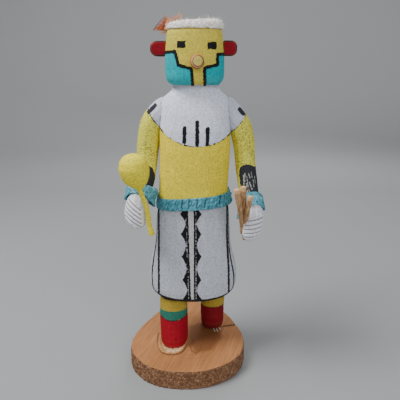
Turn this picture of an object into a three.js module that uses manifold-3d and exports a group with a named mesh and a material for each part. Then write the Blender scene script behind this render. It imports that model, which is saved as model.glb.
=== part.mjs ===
// Kachina doll: a painted figure of carved root wood, standing on a slice of branch.
// Millimetres, +Z up. The origin is the middle of the slice's underside, and the doll faces -Y.
// Left and right are the doll's own.
import * as THREE from "three";
import { mergeVertices } from "three/addons/utils/BufferGeometryUtils.js";
import Module from "manifold-3d";

const wasm = await Module();
wasm.setup();

// Slice of branch under the doll
const BASE_RADIUS = 66.6;
const BASE_THICKNESS = 21.4;
const BASE_EDGE_WEAR = 0.8;
const BARK_TAPER = 0.4;
const CRACK_HALF_WIDTH = 1.6;
const CRACK_DEPTH = 4;
const CRACK_START = [41, 14];
const CRACK_END = [70, 21];

// The figure, from its soles to the flat top of its head
const FIGURE_HEIGHT = 330.4;
const HEM_DIP = 5.4;

// Glue line between two pieces that meet
const JOINT_GAP = 0.3;

// Ears
const EAR_HEIGHT = 14;
const EAR_THICKNESS = 9;
const EAR_EDGE = 1.2;
const EAR_LEAST_FLAT = 0.24;
const RIGHT_EAR_REACH = 14.8;
const RIGHT_EAR_CORNER = 5.4;
const LEFT_EAR_REACH = 12.9;
const LEFT_EAR_CORNER = 4.2;

// Mouth tube
const MOUTH_LENGTH = 8;
const MOUTH_ROOT_RADIUS = 6.4;
const MOUTH_END_RADIUS = 5.5;
const MOUTH_EDGE = 0.8;

// Fleece round the top of the head
const FUR_WIDTH = 10;
const FUR_HEIGHT = 8.2;
const FUR_THIN_HEIGHT = 5;
const FUR_OVERHANG = 0.8;

// Feather behind the fleece
const FEATHER_THICKNESS = 1.6;
const FEATHER_QUILL = 16.5;
const FEATHER_VANE = 15;
const FEATHER_LEAN = 47;
const FEATHER_OVERHANG = 13.8;
const FEATHER_RISE = 1.5;

// Fringed strip round the waist
const BELT_HEIGHT = 12;
const BELT_THICKNESS = 1.6;
const BELT_FLARE = 2.8;
const BELT_SLIT_DEPTH = 6;
const BELT_SLIT_WIDTH = 1.3;
const BELT_SLITS = 16;

// Strips round the wrists: longest at the sides, where they stand off the arm
const CUFF_THICKNESS = 1.3;
const CUFF_FRONT_LENGTH = 11.5;
const CUFF_OUTER_LENGTH = 12.5;
const CUFF_INNER_LENGTH = 19.5;
const CUFF_SIDE_DROP = 4.7;
const RIGHT_CUFF_INNER_DROP = -1.2;
const LEFT_CUFF_INNER_DROP = 4;
const RIGHT_CUFF_STAND = 5;
const LEFT_CUFF_STAND = 1.5;
const CUFF_INNER_STAND = 3.4;

// Cuts between the fingers
const FINGER_CUT_WIDTH = 1.4;
const FINGER_CUT_DEPTH = 1.2;
const FINGER_CUT_LENGTH = 20;
const FINGER_CUT_SETBACK = 3;
const FINGER_CUT_PITCH = 4.4;
const FINGER_CUTS = 5;
// Cuts slope down towards +X, in degrees.
const RIGHT_FINGER_SLOPE = 37;
const LEFT_FINGER_SLOPE = -11;

// Rattle in the right fist
const GOURD_RADIUS = 14.7;
const GOURD_HEIGHT = 35;
const RATTLE_HANDLE_RADIUS = 2.7;
const RATTLE_HANDLE_LENGTH = 47.5;
const RATTLE_BUTT_FLARE = 0.7;

// Sticks in the left fist
const TWIG_RADIUS = 2.4;
const TWIG_TAPER = 0.6;
const TWIG_LENGTH = 61;
const TWIG_SPREAD = 4.6;

// How finely round forms are faceted
const BODY_SIDES = 34;
const LIMB_SIDES = 14;
const SMALL_SIDES = 14;
const TWIG_SIDES = 8;
const BASE_SIDES = 44;
const CRACK_SIDES = 4;
const CURVE_STEPS = 5;
const ROUND = 2;
const MERGE_DISTANCE = 1e-4;

const SOLE_LEVEL = BASE_THICKNESS + JOINT_GAP;
const HEAD_TOP = SOLE_LEVEL + FIGURE_HEIGHT;
const FULL_TURN = 2 * Math.PI;
const ACROSS = new THREE.Vector3(1, 0, 0);
const UP = new THREE.Vector3(0, 0, 1);

// One hundredth of the figure's height: its pose and proportions are written in these.
const share = (hundredths) => (hundredths * FIGURE_HEIGHT) / 100;

// A closed solid from its corner points and triangles
function solidOf(points, triangles) {
  const positions = points.flatMap((point) => point.toArray());
  const geometry = new THREE.BufferGeometry();
  geometry.setAttribute("position", new THREE.Float32BufferAttribute(positions, 3));
  geometry.setIndex(triangles);
  return solidFromGeometry(geometry);
}

// The same from one of three.js's own shapes
function solidFromGeometry(geometry) {
  const bare = geometry.clone();
  bare.deleteAttribute("normal");
  bare.deleteAttribute("uv");
  const merged = mergeVertices(bare, MERGE_DISTANCE);
  const mesh = new wasm.Mesh({
    numProp: 3,
    vertProperties: merged.getAttribute("position").array,
    triVerts: new Uint32Array(merged.index.array),
  });
  return new wasm.Manifold(mesh);
}

// Skin over rows of points: a run that ends is capped, a closed run joins its last row to its first.
function skin(rows, closedRun = false) {
  const around = rows[0].length;
  const points = rows.flat();
  const triangles = [];
  const spans = closedRun ? rows.length : rows.length - 1;
  for (let row = 0; row < spans; row++) {
    const here = row * around;
    const there = ((row + 1) % rows.length) * around;
    for (let i = 0; i < around; i++) {
      const j = (i + 1) % around;
      triangles.push(here + i, here + j, there + j, here + i, there + j, there + i);
    }
  }
  if (!closedRun) {
    const first = points.push(middleOf(rows[0])) - 1;
    const last = points.push(middleOf(rows[rows.length - 1])) - 1;
    const lastRow = (rows.length - 1) * around;
    for (let i = 0; i < around; i++) {
      const j = (i + 1) % around;
      triangles.push(first, j, i, last, lastRow + i, lastRow + j);
    }
  }
  return solidOf(points, triangles);
}

function middleOf(row) {
  const sum = row.reduce((total, point) => total.add(point), new THREE.Vector3());
  return sum.divideScalar(row.length);
}

// Squared-off cosine and sine: squareness 2 gives an ellipse, more gives a rounded rectangle.
function roundedTurn(angle, squareness) {
  const soften = (value) => Math.sign(value) * Math.abs(value) ** (2 / squareness);
  return [soften(Math.cos(angle)), soften(Math.sin(angle))];
}

// A form carved along a line. A station is [x, y, z, half width, half depth, squareness], and a
// point of the surface is named by its place along the stations and its angle round the form.
class Carving {
  constructor(stations, { level = false, drop = () => 0 } = {}) {
    this.stations = stations;
    this.level = level;
    this.drop = drop;
  }

  get lastPlace() {
    return this.stations.length - 1;
  }

  // Smooth run through the stations
  stationAt(place) {
    const span = Math.min(Math.max(Math.floor(place), 0), this.lastPlace - 1);
    const t = place - span;
    const pick = (index) => this.stations[Math.min(Math.max(index, 0), this.lastPlace)];
    const [before, from, to, after] = [-1, 0, 1, 2].map((step) => pick(span + step));
    return from.map((value, i) => {
      const startSlope = (to[i] - before[i]) / 2;
      const endSlope = (after[i] - value) / 2;
      const rise = to[i] - value;
      const curve = 3 * rise - 2 * startSlope - endSlope;
      return value + t * (startSlope + t * (curve + t * (startSlope + endSlope - 2 * rise)));
    });
  }

  centreAt(place) {
    const [x, y, z] = this.stationAt(place);
    return new THREE.Vector3(x, y, z);
  }

  // The directions of width, depth and run at a place
  frameAt(place) {
    if (this.level) return { wide: ACROSS, deep: new THREE.Vector3(0, 1, 0), run: UP };
    const step = 0.05;
    const run = this.centreAt(Math.min(place + step, this.lastPlace))
      .sub(this.centreAt(Math.max(place - step, 0)))
      .normalize();
    const wide = ACROSS.clone().addScaledVector(run, -ACROSS.dot(run)).normalize();
    return { wide, deep: run.clone().cross(wide), run };
  }

  point(place, angle, grow = 0) {
    const [, , , halfWidth, halfDepth, squareness] = this.stationAt(place);
    const { wide, deep } = this.frameAt(place);
    const [across, inward] = roundedTurn(angle, squareness);
    return this.centreAt(place)
      .addScaledVector(wide, (halfWidth + grow) * across)
      .addScaledVector(deep, (halfDepth + grow) * inward)
      .addScaledVector(UP, -this.drop(place, angle));
  }

  row(place, sides, grow = 0) {
    return turnsOf(sides).map((angle) => this.point(place, angle, grow));
  }

  // The whole form, or the form grown outwards by a clearance, its ends too
  solid(sides, stepsPerSpan = 1, grow = 0) {
    const rows = [];
    for (let i = 0; i <= this.lastPlace * stepsPerSpan; i++) {
      rows.push(this.row(i / stepsPerSpan, sides, grow));
    }
    if (grow) {
      const startRun = this.frameAt(0).run;
      const endRun = this.frameAt(this.lastPlace).run;
      rows[0].forEach((point) => point.addScaledVector(startRun, -grow));
      rows[rows.length - 1].forEach((point) => point.addScaledVector(endRun, grow));
    }
    return skin(rows);
  }

  // Where a level form reaches a height
  placeAtHeight(height) {
    let low = 0;
    let high = this.lastPlace;
    while (high - low > MERGE_DISTANCE) {
      const middle = (low + high) / 2;
      if (this.stationAt(middle)[2] < height) low = middle;
      else high = middle;
    }
    return (low + high) / 2;
  }
}

function turnsOf(sides) {
  return Array.from({ length: sides }, (_, i) => (i * FULL_TURN) / sides);
}

// A station of the figure, given in shares of its height above the soles
function pose(x, y, z, halfWidth, halfDepth, squareness) {
  return [share(x), share(y), SOLE_LEVEL + share(z), share(halfWidth), share(halfDepth), squareness];
}

// How far a direction round the figure faces front, from 0 at the sides and back to 1
const frontness = (angle) => Math.max(0, -Math.sin(angle));

// Kilt, chest and shoulders up to the neck: the upper body leans to the doll's left.
const trunkStations = [
  pose(1.85, 0, 18.6, 13.1, 8.5, 2.5),
  pose(1.9, 0, 19.2, 13.8, 9, 2.5),
  pose(1.95, 0, 21.1, 14.45, 9.2, 2.5),
  pose(1.95, 0, 24.6, 14.6, 9.2, 2.5),
  pose(1.8, 0, 28.1, 14.15, 9.15, 2.5),
  pose(1.7, 0, 31.75, 13.25, 9.05, 2.5),
  pose(1.8, 0, 35.3, 12.45, 8.9, 2.5),
  pose(1.95, 0, 39, 12, 8.75, 2.5),
  pose(2, 0, 44, 11.7, 8.5, 2.5),
  pose(2.1, 0, 49.5, 11.1, 8.2, 2.6),
  pose(2.2, 0, 54, 10.8, 8, 2.7),
  pose(2.4, 0, 59.1, 10.9, 8.1, 2.7),
  pose(2.65, 0, 65.5, 10.9, 8.2, 2.7),
  pose(2.7, 0, 72.2, 10.9, 8, 2.7),
  pose(2.75, 0, 76.7, 10.85, 7.1, 2.6),
  pose(2.8, 0, 79.6, 10.7, 6.2, 2.5),
  pose(2.9, 0, 81.5, 9.5, 5.7, 2.4),
  pose(2.95, 0, 83.1, 7.4, 5.5, 2.3),
  pose(3, 0, 84.2, 6.75, 5.4, 2.2),
  pose(3, 0, 85.6, 6.7, 5.4, 2.2),
];
const HEM_SPANS = 3;
const hemDrop = (place, angle) =>
  HEM_DIP * frontness(angle) ** 2 * Math.max(0, 1 - place / HEM_SPANS);
const trunk = new Carving(trunkStations, { level: true, drop: hemDrop });

// Case mask: straight sides, rounded under the chin, flat on top
const head = new Carving(
  [
    pose(2.7, 0, 85, 6.1, 5.3, 2.6),
    pose(2.7, 0, 85.2, 7.35, 6.5, 2.7),
    pose(2.75, 0, 85.9, 8.2, 7.3, 2.8),
    pose(2.75, 0, 87.1, 8.6, 7.6, 2.8),
    pose(2.7, 0, 90.9, 8.7, 7.7, 2.8),
    pose(2.65, 0, 95.5, 8.35, 7.6, 2.8),
    pose(2.7, 0, 99.4, 8, 7.4, 2.8),
    pose(2.7, 0, 100, 7.85, 7.25, 2.8),
  ],
  { level: true },
);

// Legs in boots, from the sole up into the kilt: the right one is a step ahead.
const rightLeg = new Carving(
  [
    pose(-5.2, -5.15, 0, 4.95, 7.2, 2.4),
    pose(-5.2, -5.15, 0.5, 5.1, 7.35, 2.4),
    pose(-4.4, -3.95, 0.6, 4.5, 5.85, 2.3),
    pose(-4.5, -3.95, 2.6, 4.65, 5.75, 2.3),
    pose(-4.55, -3.9, 6.2, 4.7, 5.1, 2.2),
    pose(-4.6, -3.8, 9.8, 4.75, 4.4, 2.2),
    pose(-4.6, -3.6, 13.4, 4.65, 4.05, 2.2),
    pose(-4.5, -3, 18.3, 4.55, 3.95, 2.2),
    pose(-4.2, -2.4, 21.3, 4.4, 3.95, 2.2),
  ],
  { level: true },
);
const leftLeg = new Carving(
  [
    pose(8.6, 6.1, 0, 3.3, 3.1, 2.3),
    pose(8.65, 5.4, 0.8, 3.8, 3.9, 2.3),
    pose(8.65, 4.7, 2.9, 4.05, 4.25, 2.3),
    pose(8.6, 4.4, 6.2, 4.15, 4.35, 2.2),
    pose(8.6, 4.25, 9.8, 4.15, 4.25, 2.2),
    pose(8.75, 4.1, 13.4, 4.35, 4.25, 2.2),
    pose(9.3, 3.7, 18.3, 5, 4.3, 2.2),
    pose(9.3, 3.4, 21.3, 5, 4.3, 2.2),
  ],
  { level: true },
);

// Arms run from inside the shoulder, round the elbow and into the fist.
const RIGHT_WRIST = 8.45;
const LEFT_WRIST = 9;
const KNUCKLE_PLACE = 10;
const rightArm = new Carving([
  pose(-4.9, 0.3, 79.1, 2.7, 3, 2.1),
  pose(-6.7, 0.3, 77.9, 3.4, 4, 2.1),
  pose(-9.55, 0.1, 74.9, 3.45, 4.1, 2.1),
  pose(-10.95, 0, 71.9, 3.4, 3.9, 2.1),
  pose(-11.6, 0, 67.9, 3.4, 3.8, 2.1),
  pose(-12.1, -0.3, 64, 3.35, 3.6, 2.1),
  pose(-12.45, -1.2, 60.2, 3.25, 3.4, 2.1),
  pose(-12.8, -3.1, 56.9, 3.15, 3.2, 2.1),
  pose(-13.45, -5.1, 54.2, 2.95, 2.95, 2.1),
  pose(-14.2, -6.8, 52.1, 3.05, 2.95, 2.2),
  pose(-14.7, -8.2, 50, 3.5, 3.25, 2.4),
  pose(-14.95, -9, 47.8, 3.6, 3.4, 2.5),
  pose(-14.75, -9.4, 45.4, 3.05, 3.15, 2.5),
  pose(-14.5, -9.4, 43.95, 2.15, 2.5, 2.4),
  pose(-14.4, -9.4, 43.15, 1.2, 1.4, 2.2),
  pose(-14.4, -9.4, 42.9, 0.4, 0.4, 2),
]);
const leftArm = new Carving([
  pose(10.3, 0.3, 79.1, 2.7, 3, 2.1),
  pose(12.1, 0.3, 78.1, 3.4, 4, 2.1),
  pose(15, 0.1, 74.9, 3.45, 4.1, 2.1),
  pose(16.85, 0, 71.6, 3.4, 3.9, 2.1),
  pose(17.75, 0, 67.6, 3.3, 3.8, 2.1),
  pose(18.15, -0.3, 63.7, 3.2, 3.6, 2.1),
  pose(18.45, -1.2, 60, 3.15, 3.4, 2.1),
  pose(18.85, -3.3, 56.4, 3.1, 3.2, 2.1),
  pose(19.2, -5.4, 53.4, 2.95, 2.95, 2.1),
  pose(19.75, -7, 51, 2.95, 2.9, 2.2),
  pose(20.15, -8.2, 48.4, 3.15, 3.15, 2.4),
  pose(20.25, -9.1, 45.5, 3.3, 3.3, 2.5),
  pose(19.85, -9.4, 42.8, 3, 3.1, 2.5),
  pose(19.25, -9.4, 40.7, 2.3, 2.5, 2.4),
  pose(18.95, -9.4, 39.4, 1.3, 1.4, 2.2),
  pose(18.85, -9.4, 39.05, 0.5, 0.5, 2),
]);

// A fist with cuts between its fingers: thin blades are pressed into its front from the highest
// cut down, each to the same depth under the skin. The slope is in degrees, down towards +X.
function cutFist(arm, x, highest, slope) {
  const reach = 2 * FINGER_CUT_LENGTH;
  const front = arm.centreAt(KNUCKLE_PLACE).y - FINGER_CUT_SETBACK;
  let fist = arm.solid(LIMB_SIDES, 2);
  for (let cut = 0; cut < FINGER_CUTS; cut++) {
    const blade = new THREE.BoxGeometry(FINGER_CUT_LENGTH, reach, FINGER_CUT_WIDTH);
    blade.rotateY(THREE.MathUtils.degToRad(slope));
    blade.translate(x, front - reach / 2, highest - cut * FINGER_CUT_PITCH);
    fist = fist.subtract(solidFromGeometry(blade));
  }
  return fist.add(arm.solid(LIMB_SIDES, 2, -FINGER_CUT_DEPTH));
}

// The slice of branch: not quite round, its bark leaning in a little towards the sawn top
function makeBase() {
  const waves = [
    [1, 0.033, 2.68],
    [2, 0.066, -1.23],
    [3, 0.059, -3.13],
    [9, 0.004, 1],
  ];
  const uneven = (angle) =>
    waves.reduce((sum, [count, size, phase]) => sum + size * Math.sin(count * angle + phase), 1);
  const outline = (height, inset) =>
    turnsOf(BASE_SIDES).map((angle) => {
      const radius = BASE_RADIUS * uneven(angle) - inset;
      return new THREE.Vector3(radius * Math.cos(angle), radius * Math.sin(angle), height);
    });
  const slice = skin([
    outline(0, BASE_EDGE_WEAR),
    outline(BASE_EDGE_WEAR, 0),
    outline(BASE_THICKNESS / 2, 0),
    outline(BASE_THICKNESS - BASE_EDGE_WEAR, BARK_TAPER),
    outline(BASE_THICKNESS, BARK_TAPER + BASE_EDGE_WEAR),
  ]);
  const crack = [CRACK_START, CRACK_END].map(([x, y]) => [
    x,
    y,
    BASE_THICKNESS,
    CRACK_HALF_WIDTH,
    CRACK_DEPTH,
    ROUND,
  ]);
  return slice.subtract(new Carving(crack).solid(CRACK_SIDES));
}

const trunkSolid = (grow = 0) => trunk.solid(BODY_SIDES, 1, grow);
const headSolid = (grow = 0) => head.solid(BODY_SIDES, 1, grow);

function makeBody() {
  const legs = rightLeg.solid(LIMB_SIDES + 6).add(leftLeg.solid(LIMB_SIDES + 6));
  return trunkSolid().add(headSolid()).add(legs);
}

// An ear block, its inner face cut to the side of the mask
function makeEar(side, reach, roundness, level) {
  const place = head.placeAtHeight(level);
  const sideOfHead = head.point(place, side > 0 ? 0 : Math.PI);
  const corner = Math.min(roundness, EAR_HEIGHT / 2 - EAR_EDGE - EAR_LEAST_FLAT);
  const buried = EAR_EDGE + corner;
  const shape = new THREE.Shape();
  const half = EAR_HEIGHT / 2 - EAR_EDGE;
  const tip = reach - EAR_EDGE;
  shape.moveTo(-buried, -half);
  shape.lineTo(tip - corner, -half);
  shape.absarc(tip - corner, -half + corner, corner, -Math.PI / 2, 0);
  shape.absarc(tip - corner, half - corner, corner, 0, Math.PI / 2);
  shape.lineTo(-buried, half);
  const block = new THREE.ExtrudeGeometry(shape, {
    depth: EAR_THICKNESS - 2 * EAR_EDGE,
    bevelThickness: EAR_EDGE,
    bevelSize: EAR_EDGE,
    bevelSegments: 1,
    curveSegments: CURVE_STEPS,
  });
  block.translate(0, 0, -EAR_THICKNESS / 2 + EAR_EDGE);
  block.rotateX(Math.PI / 2);
  if (side < 0) block.rotateZ(Math.PI);
  block.translate(sideOfHead.x, sideOfHead.y, level);
  return solidFromGeometry(block).subtract(headSolid(JOINT_GAP));
}

// The mouth tube, turned round its own axis and seated on the front of the mask
function makeMouthTube() {
  const level = SOLE_LEVEL + share(91.3);
  const face = head.point(head.placeAtHeight(level), -Math.PI / 2);
  const buried = 2 * MOUTH_EDGE;
  const profile = [
    new THREE.Vector2(0, -buried),
    new THREE.Vector2(MOUTH_ROOT_RADIUS, -buried),
    new THREE.Vector2(MOUTH_ROOT_RADIUS, MOUTH_EDGE),
    new THREE.Vector2(MOUTH_END_RADIUS, MOUTH_LENGTH - MOUTH_EDGE),
    new THREE.Vector2(MOUTH_END_RADIUS - MOUTH_EDGE, MOUTH_LENGTH),
    new THREE.Vector2(0, MOUTH_LENGTH),
  ];
  const tube = new THREE.LatheGeometry(profile, LIMB_SIDES + 6);
  tube.rotateX(Math.PI);
  tube.translate(share(3.5), face.y, level);
  return solidFromGeometry(tube).subtract(headSolid(JOINT_GAP));
}

// The fleece: a roll that follows the edge of the head, flat below, thinner over the right ear
function furSolid(grow = 0) {
  const columns = 30;
  const arc = 6;
  const thickestTurn = -0.5;
  const fullness = 0.8;
  const rows = turnsOf(columns).map((angle) => {
    const outer = head.point(head.lastPlace, angle, FUR_OVERHANG + grow);
    const inner = head.point(head.lastPlace, angle, FUR_OVERHANG - FUR_WIDTH - grow);
    const thick = (1 + Math.cos(angle - thickestTurn)) / 2;
    const height = FUR_THIN_HEIGHT + (FUR_HEIGHT - FUR_THIN_HEIGHT) * thick + grow;
    const floor = HEAD_TOP + JOINT_GAP - grow;
    return Array.from({ length: arc + 1 }, (_, i) => {
      const turn = (Math.PI * i) / arc;
      const along = (1 - Math.cos(turn)) / 2;
      const point = inner.clone().lerp(outer, along);
      point.z = floor + (height + grow) * Math.sin(turn) ** fullness;
      return point;
    });
  });
  return skin(rows, true);
}

// The feather: its quill leans outwards over the ear, the vane lies behind the fleece
function makeFeather() {
  const root = head.point(head.lastPlace, Math.PI);
  const lean = THREE.MathUtils.degToRad(FEATHER_LEAN);
  const quill = new THREE.Vector2(Math.cos(lean), Math.sin(lean)).multiplyScalar(FEATHER_QUILL);
  const foot = new THREE.Vector2(-FEATHER_OVERHANG, FEATHER_RISE);
  const tip = foot.clone().add(quill);
  const innerEdge = FEATHER_VANE / 2;
  const shape = new THREE.Shape();
  shape.moveTo(foot.x, foot.y);
  shape.lineTo(innerEdge, -2 * FEATHER_RISE);
  shape.lineTo(FEATHER_VANE, FEATHER_RISE);
  shape.quadraticCurveTo(FEATHER_VANE, tip.y, tip.x + FEATHER_VANE / 2, tip.y);
  shape.lineTo(tip.x, tip.y);
  const vane = new THREE.ExtrudeGeometry(shape, {
    depth: FEATHER_THICKNESS,
    bevelEnabled: false,
    curveSegments: CURVE_STEPS,
  });
  vane.rotateX(Math.PI / 2);
  vane.translate(root.x, root.y + share(2.4), root.z);
  return solidFromGeometry(vane).subtract(headSolid(JOINT_GAP)).subtract(furSolid(JOINT_GAP));
}

// The belt fringe: wound round the waist, higher on the left, where its slit edge stands off the kilt
function makeBeltFringe() {
  const top = SOLE_LEVEL + share(52.1);
  const tilt = share(1);
  const waist = trunk.placeAtHeight(top - BELT_HEIGHT / 2);
  const firstSlit = 0.3;
  const nudge = 0.01;
  const angles = [];
  for (let i = 0; i < BELT_SLITS; i++) {
    const middle = ((i + firstSlit) * FULL_TURN) / BELT_SLITS;
    const halfway = middle + FULL_TURN / BELT_SLITS / 2;
    const nearby = trunk.point(waist, middle - nudge).distanceTo(trunk.point(waist, middle + nudge));
    const slitTurn = (BELT_SLIT_WIDTH * nudge) / nearby;
    angles.push([middle - slitTurn, 0], [middle, BELT_SLIT_DEPTH], [middle + slitTurn, 0], [halfway, 0]);
  }
  const rows = angles.map(([angle, slit]) => {
    const upper = top + tilt * Math.cos(angle);
    const flare = (BELT_FLARE * (1 + Math.cos(angle))) / 2;
    const lower = upper - BELT_HEIGHT;
    const at = (level, stand, height) => {
      const point = trunk.point(trunk.placeAtHeight(level), angle, JOINT_GAP + stand);
      point.z = height;
      return point;
    };
    const middle = (upper + lower) / 2;
    return [
      at(lower, flare, lower + slit),
      at(upper, 0, upper),
      at(upper, BELT_THICKNESS, upper),
      at(middle, BELT_THICKNESS + flare / 2, Math.max(middle, lower + slit)),
      at(lower, BELT_THICKNESS + flare, lower + slit),
    ];
  });
  return skin(rows, true);
}

// A cuff: a strip wound round the wrist, short over the back of the hand and long at the sides
function makeCuff(arm, wrist, outwards, stand, innerDrop) {
  const run = arm.centreAt(wrist - 1).distanceTo(arm.centreAt(wrist + 1)) / 2;
  const rows = turnsOf(2 * LIMB_SIDES).map((angle) => {
    const sideways = Math.cos(angle) ** 4;
    const inner = (1 - outwards * Math.cos(angle)) / 2;
    const sideLength = CUFF_OUTER_LENGTH + (CUFF_INNER_LENGTH - CUFF_OUTER_LENGTH) * inner;
    const halfLength = (CUFF_FRONT_LENGTH + (sideLength - CUFF_FRONT_LENGTH) * sideways) / 2;
    const drop = (CUFF_SIDE_DROP + innerDrop * inner) * sideways;
    const at = (along, grow) => arm.point(wrist + (drop + along) / run, angle, JOINT_GAP + grow);
    const upper = stand * sideways;
    const lower = (stand / 3 + CUFF_INNER_STAND * inner) * sideways;
    const between = (upper + lower) / 2;
    return [
      at(halfLength, lower + CUFF_THICKNESS),
      at(0, between + CUFF_THICKNESS),
      at(-halfLength, upper + CUFF_THICKNESS),
      at(-halfLength, upper),
      at(0, between),
      at(halfLength, lower),
    ];
  });
  return skin(rows, true);
}

// The rattle: gourd, neck and slightly bent handle, carved as one. Its handle runs in the fist
// and leans forwards. How far it bends aside is given in shares of the figure's height.
const rattle = (() => {
  const [x, y, z] = [share(-10.1), share(-12.4), SOLE_LEVEL + share(41.9)];
  const handleLean = share(1.03);
  const gourdLean = share(0.454);
  const squareness = 2.1;
  const handle = (rise, aside, radius) => [
    x - share(aside),
    y - rise * handleLean,
    z + rise * RATTLE_HANDLE_LENGTH,
    radius,
    radius,
    squareness,
  ];
  const gourd = (rise, radius, aside) => [
    x - share(aside),
    y - handleLean - rise * gourdLean,
    z + RATTLE_HANDLE_LENGTH + rise * GOURD_HEIGHT,
    radius * GOURD_RADIUS,
    radius * GOURD_RADIUS,
    squareness,
  ];
  return new Carving(
    [
      handle(0, 0, RATTLE_HANDLE_RADIUS + RATTLE_BUTT_FLARE),
      handle(0.22, 0.636, RATTLE_HANDLE_RADIUS),
      handle(0.46, 0.878, RATTLE_HANDLE_RADIUS),
      handle(0.65, 1.301, RATTLE_HANDLE_RADIUS),
      handle(0.84, 2.24, RATTLE_HANDLE_RADIUS),
      handle(1, 2.966, RATTLE_HANDLE_RADIUS),
      gourd(0.08, 0.44, 3.511),
      gourd(0.2, 0.74, 3.904),
      gourd(0.38, 0.92, 4.116),
      gourd(0.58, 1, 4.268),
      gourd(0.78, 0.9, 4.328),
      gourd(0.91, 0.66, 4.328),
      gourd(0.98, 0.34, 4.328),
      gourd(1, 0.08, 4.328),
    ],
    { level: true },
  );
})();

// The sticks: held in a bunch in the fist, thicker and spreading above it. The bunch's middle
// line and each stick's ends are given by a rise: from 0 at the foot to fistTop where the fist
// ends, and on to 1 at the top. Only the free length above the fist grows with the sticks.
const twigs = (() => {
  const foot = SOLE_LEVEL + share(38.6);
  const fistTop = 0.45;
  const held = share(8.30811);
  const steps = 6;
  const inFist = (rise) => (Math.min(rise, fistTop) / fistTop) * held;
  const aboveFist = (rise) => (Math.max(0, rise - fistTop) / (1 - fistTop)) * (TWIG_LENGTH - held);
  const heightAt = (rise) => foot + inFist(rise) + aboveFist(rise);
  const middleLine = new Carving(
    [
      [share(18.1), share(-8.2), heightAt(0), 0, 0, 2],
      [share(17.6), share(-9.2), heightAt(0.21), 0, 0, 2],
      [share(17.2), share(-10.8), heightAt(0.4), 0, 0, 2],
      [share(17), share(-13), heightAt(0.57), 0, 0, 2],
      [share(16.9), share(-14), heightAt(0.71), 0, 0, 2],
      [share(16.8), share(-14.6), heightAt(1), 0, 0, 2],
    ],
    { level: true },
  );
  const bunch = [
    { aside: -1, back: -0.4, lean: -1, start: 0.15, end: 0.98 },
    { aside: 0, back: 1.6, lean: -0.1, start: 0, end: 1 },
    { aside: 1.1, back: -0.5, lean: 0.9, start: 0.2, end: 0.87 },
  ];
  return bunch.map(({ aside, back, lean, start, end }) => {
    const stations = Array.from({ length: steps + 1 }, (_, i) => {
      const rise = start + ((end - start) * i) / steps;
      const { x, y, z } = middleLine.centreAt(middleLine.placeAtHeight(heightAt(rise)));
      const radius = TWIG_TAPER * TWIG_RADIUS + (1 - TWIG_TAPER) * TWIG_RADIUS * rise;
      const pitch = radius + JOINT_GAP / 2;
      const opened = TWIG_SPREAD * (Math.max(0, rise - fistTop) / (1 - fistTop));
      return [x + aside * pitch + lean * opened, y + back * pitch, z, radius, radius, 2];
    });
    return new Carving(stations);
  });
})();

function makeRightArm() {
  const fist = cutFist(rightArm, share(-15.5), SOLE_LEVEL + share(51.1), RIGHT_FINGER_SLOPE);
  return fist.subtract(trunkSolid(JOINT_GAP)).subtract(rattle.solid(SMALL_SIDES, 1, JOINT_GAP));
}

function makeLeftArm() {
  const fist = cutFist(leftArm, share(20.5), SOLE_LEVEL + share(46.5), LEFT_FINGER_SLOPE);
  const channels = twigs.map((twig) => twig.solid(TWIG_SIDES, 1, JOINT_GAP));
  return channels.reduce((arm, channel) => arm.subtract(channel), fist.subtract(trunkSolid(JOINT_GAP)));
}

// Paints and bare stuffs, as they look under plain daylight
const paint = (color, roughness = 0.85) =>
  new THREE.MeshStandardMaterial({ color, roughness, metalness: 0 });
const finishes = {
  sawnWood: paint("#b48058", 0.7),
  yellow: paint("#c8b84a"),
  brightYellow: paint("#dccb5a"),
  red: paint("#a51826"),
  turquoise: paint("#5fa9be"),
  fleece: paint("#e6e0dc", 1),
  featherOrange: paint("#d0864a"),
  bark: paint("#a8784c", 0.9),
};

const doll = new THREE.Group();

function addPiece(name, solid, finish) {
  const { vertProperties, triVerts, numProp } = solid.getMesh();
  const geometry = new THREE.BufferGeometry();
  geometry.setAttribute("position", new THREE.BufferAttribute(vertProperties, numProp));
  geometry.setIndex(new THREE.BufferAttribute(triVerts, 1));
  geometry.computeVertexNormals();
  const mesh = new THREE.Mesh(geometry, finish);
  mesh.name = name;
  doll.add(mesh);
}

const RIGHT = -1;
const LEFT = 1;
addPiece("base", makeBase(), finishes.sawnWood);
addPiece("body", makeBody(), finishes.yellow);
addPiece("right_arm", makeRightArm(), finishes.brightYellow);
addPiece("left_arm", makeLeftArm(), finishes.brightYellow);
addPiece(
  "right_ear",
  makeEar(RIGHT, RIGHT_EAR_REACH, RIGHT_EAR_CORNER, SOLE_LEVEL + share(95)),
  finishes.red,
);
addPiece(
  "left_ear",
  makeEar(LEFT, LEFT_EAR_REACH, LEFT_EAR_CORNER, SOLE_LEVEL + share(95.1)),
  finishes.red,
);
addPiece("mouth_tube", makeMouthTube(), finishes.yellow);
addPiece("fur_roll", furSolid(), finishes.fleece);
addPiece("feather", makeFeather(), finishes.featherOrange);
addPiece("belt_fringe", makeBeltFringe(), finishes.turquoise);
addPiece(
  "right_cuff",
  makeCuff(rightArm, RIGHT_WRIST, RIGHT, RIGHT_CUFF_STAND, RIGHT_CUFF_INNER_DROP),
  finishes.turquoise,
);
addPiece(
  "left_cuff",
  makeCuff(leftArm, LEFT_WRIST, LEFT, LEFT_CUFF_STAND, LEFT_CUFF_INNER_DROP),
  finishes.turquoise,
);
addPiece("rattle", rattle.solid(SMALL_SIDES), finishes.brightYellow);
twigs.forEach((twig, i) => addPiece(`twig_${i + 1}`, twig.solid(TWIG_SIDES), finishes.bark));

export default doll;
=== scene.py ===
"""A carved and painted doll standing on a slice of branch, dressed over its solids.

Sizes of the painted patterns are in millimetres, meshes are in metres.
"""

import logging
import math
import random
from dataclasses import dataclass, field
from enum import Enum
from typing import Sequence, Union

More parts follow.
